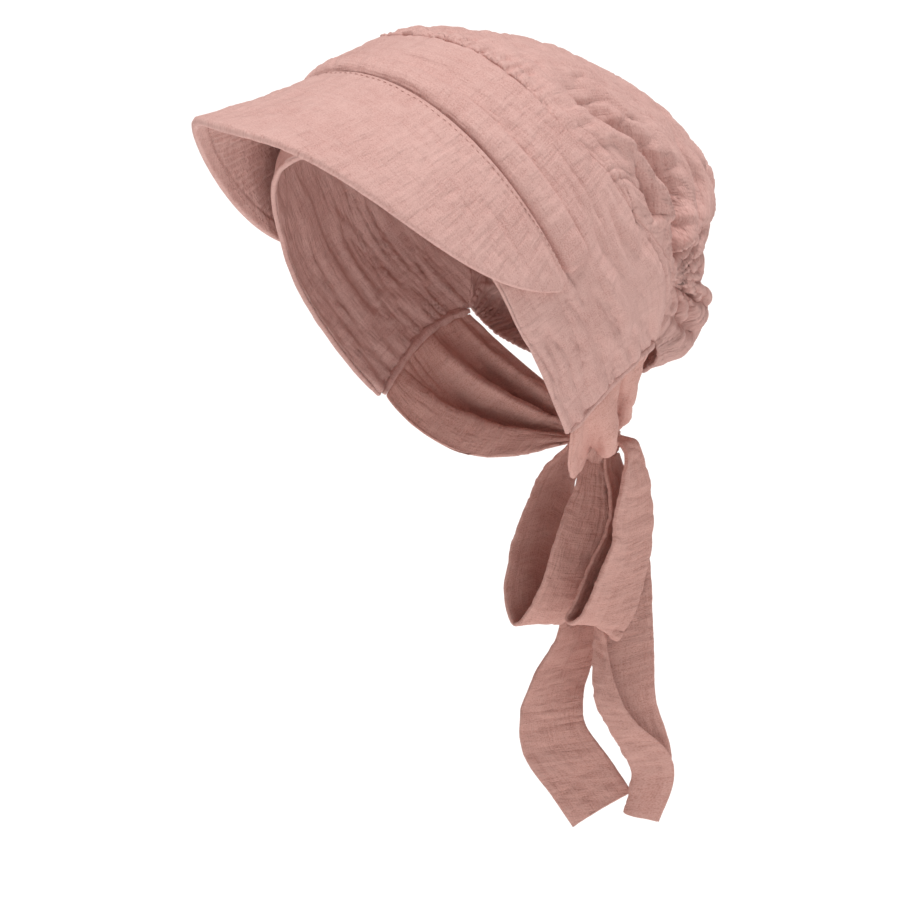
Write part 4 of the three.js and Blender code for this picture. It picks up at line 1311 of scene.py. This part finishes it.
def makeThread():
    material = bpy.data.materials.new("cottonThread")
    material.use_nodes = True
    tree = material.node_tree
    tree.nodes.clear()
    place = addNode(tree, "ShaderNodeTexCoord").outputs["Object"]
    twist = addNode(tree, "ShaderNodeTexNoise", {"Scale": 1 / (threadFinish["twist"] * mm)},
                    {"Vector": place})
    ramp = addNode(tree, "ShaderNodeValToRGB", None, {"Fac": twist.outputs["Fac"]})
    ramp.color_ramp.elements[0].color = linear(threadFinish["dark"])
    ramp.color_ramp.elements[1].color = linear(threadFinish["base"])
    relief = addNode(tree, "ShaderNodeBump", {
        "Strength": threadFinish["relief"], "Distance": threadFinish["reliefHeight"] * mm},
                     {"Height": twist.outputs["Fac"]})
    shader = addNode(tree, "ShaderNodeBsdfPrincipled",
                     {"Roughness": threadFinish["roughness"], "IOR": threadFinish["ior"]},
                     {"Base Color": ramp.outputs["Color"], "Normal": relief.outputs["Normal"]})
    addNode(tree, "ShaderNodeOutputMaterial", None, {"Surface": shader.outputs["BSDF"]})
    return material


gauzeRose = makeGauze("doubleGauzeRose", gauzeFinish)
# A darker copy of the gauze for the knot, tie roots, loops and tails: painted shade, for the shade that
# they hang in below the cap.
shadedGauzeTie = makeGauze("doubleGauzeTieShaded", {**gauzeFinish, "base": "#cf9f95", "paintedTuckShade": "#b98477",
                                        "paintedHighlightAndSheen": "#d8aca1"})
thread = makeThread()


def dress(piece, material, slot, *nodes):
    piece.data.materials.append(material)
    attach(piece, "root")
    if nodes:
        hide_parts(*nodes)
    return piece


panelPiece = dress(makePanel(), gauzeRose, "gauze", "front_panel")
print("band done")
visorPiece = dress(makeVisor(), gauzeRose, "gauze", "visor")
stripPiece = dress(makeStrip(), gauzeRose, "gauze", "visor_band")
print("visor and padded strip done")
bagPiece = dress(makeBag(), gauzeRose, "gauze", "crown_bag")
print("crown bag done")
for label, side in (("left", 1), ("right", -1)):
    weltPiece = makeWelt(f"weltCloth.{label}", side)
    dress(weltPiece, gauzeRose, "gauze", f"edge_welt_{label}")
    rootPiece = makeRoot(f"tieRoot.{label}", side)
    dress(rootPiece, shadedGauzeTie, "gauze_tie", f"tie_root_{label}")
knotPiece = dress(makeKnot(), shadedGauzeTie, "gauze_tie", "bow_knot")
print("welts, tie roots and knot done")
for ribbon in ribbonPieces:
    dress(makeRibbon(ribbon), shadedGauzeTie, "gauze_tie", ribbon["node"])
print("loops and tails done")
topStitches = visorRow("stitches.visorSeam", "outer", visor["stitchLine"] / visor["depth"])
facingStitches = visorRow("stitches.visorFacing", "inner", 1 - visor["facing"] / visor["depth"])
visorStitches = [dress(piece, thread, "gauze") for piece in (topStitches, facingStitches)]
print("stitches done")

# Plain pale floor, well below the cap so that its shadow there is soft
ground = {"below": 150, "side": 40000, "colour": "#fdfdfc", "roughness": 0.9}
floorSpot = (0, 0, cadBox[0][2] - ground["below"] * mm)
bpy.ops.mesh.primitive_plane_add(size=ground["side"] * mm, location=floorSpot)
floor = bpy.context.object
floor.name = "floor"
floorPaint = bpy.data.materials.new("mattePaint")
floorPaint.use_nodes = True
floorShader = floorPaint.node_tree.nodes["Principled BSDF"]
floorShader.inputs["Base Color"].default_value = linear(ground["colour"])
floorShader.inputs["Roughness"].default_value = ground["roughness"]
floor.data.materials.append(floorPaint)

# Soft studio light: an even pale surround, a broad key from above and a little in front,
# and a fill from +X. Softness is a sun's angle, tilt is down from straight overhead and
# turn is round from the front toward +X, all in degrees.
surround = {"colour": "#fbf1ee", "strength": 0.29}
suns = table(
    "name strength softness tilt turn",
    ("key", 2.85, 22, 14, 30),
    ("fill", 0.3, 70, 60, 95),
)
bpy.context.scene.view_settings.view_transform = "Standard"
world = bpy.data.worlds.new("studio")
bpy.context.scene.world = world
world.use_nodes = True
world.node_tree.nodes["Background"].inputs["Color"].default_value = linear(surround["colour"])
world.node_tree.nodes["Background"].inputs["Strength"].default_value = surround["strength"]
for sun in suns:
    lamp = bpy.data.objects.new(sun["name"], bpy.data.lights.new(sun["name"], "SUN"))
    lamp.data.energy = sun["strength"]
    lamp.data.angle = math.radians(sun["softness"])
    lamp.rotation_euler = (math.radians(sun["tilt"]), 0, math.radians(sun["turn"]))
    bpy.context.scene.collection.objects.link(lamp)
print("floor and light done")

cameraData = bpy.data.cameras.new("camera")
camera = bpy.data.objects.new("camera", cameraData)
bpy.context.scene.collection.objects.link(camera)
bpy.context.scene.camera = camera
cameraData.sensor_width = view["sensor"]
cameraData.lens = view["lens"]
cameraData.clip_end = view["farthest"]
back = unit(np.array(view["back"]))
right = unit(np.cross([0, 0, 1], back))
up = np.cross(back, right)
spot = (np.array(view["target"]) + view["distance"] * back) * mm
cameraRows = [[right[k], up[k], back[k], spot[k]] for k in range(3)]
camera.matrix_world = Matrix(cameraRows + [[0, 0, 0, 1]])
print("camera done")
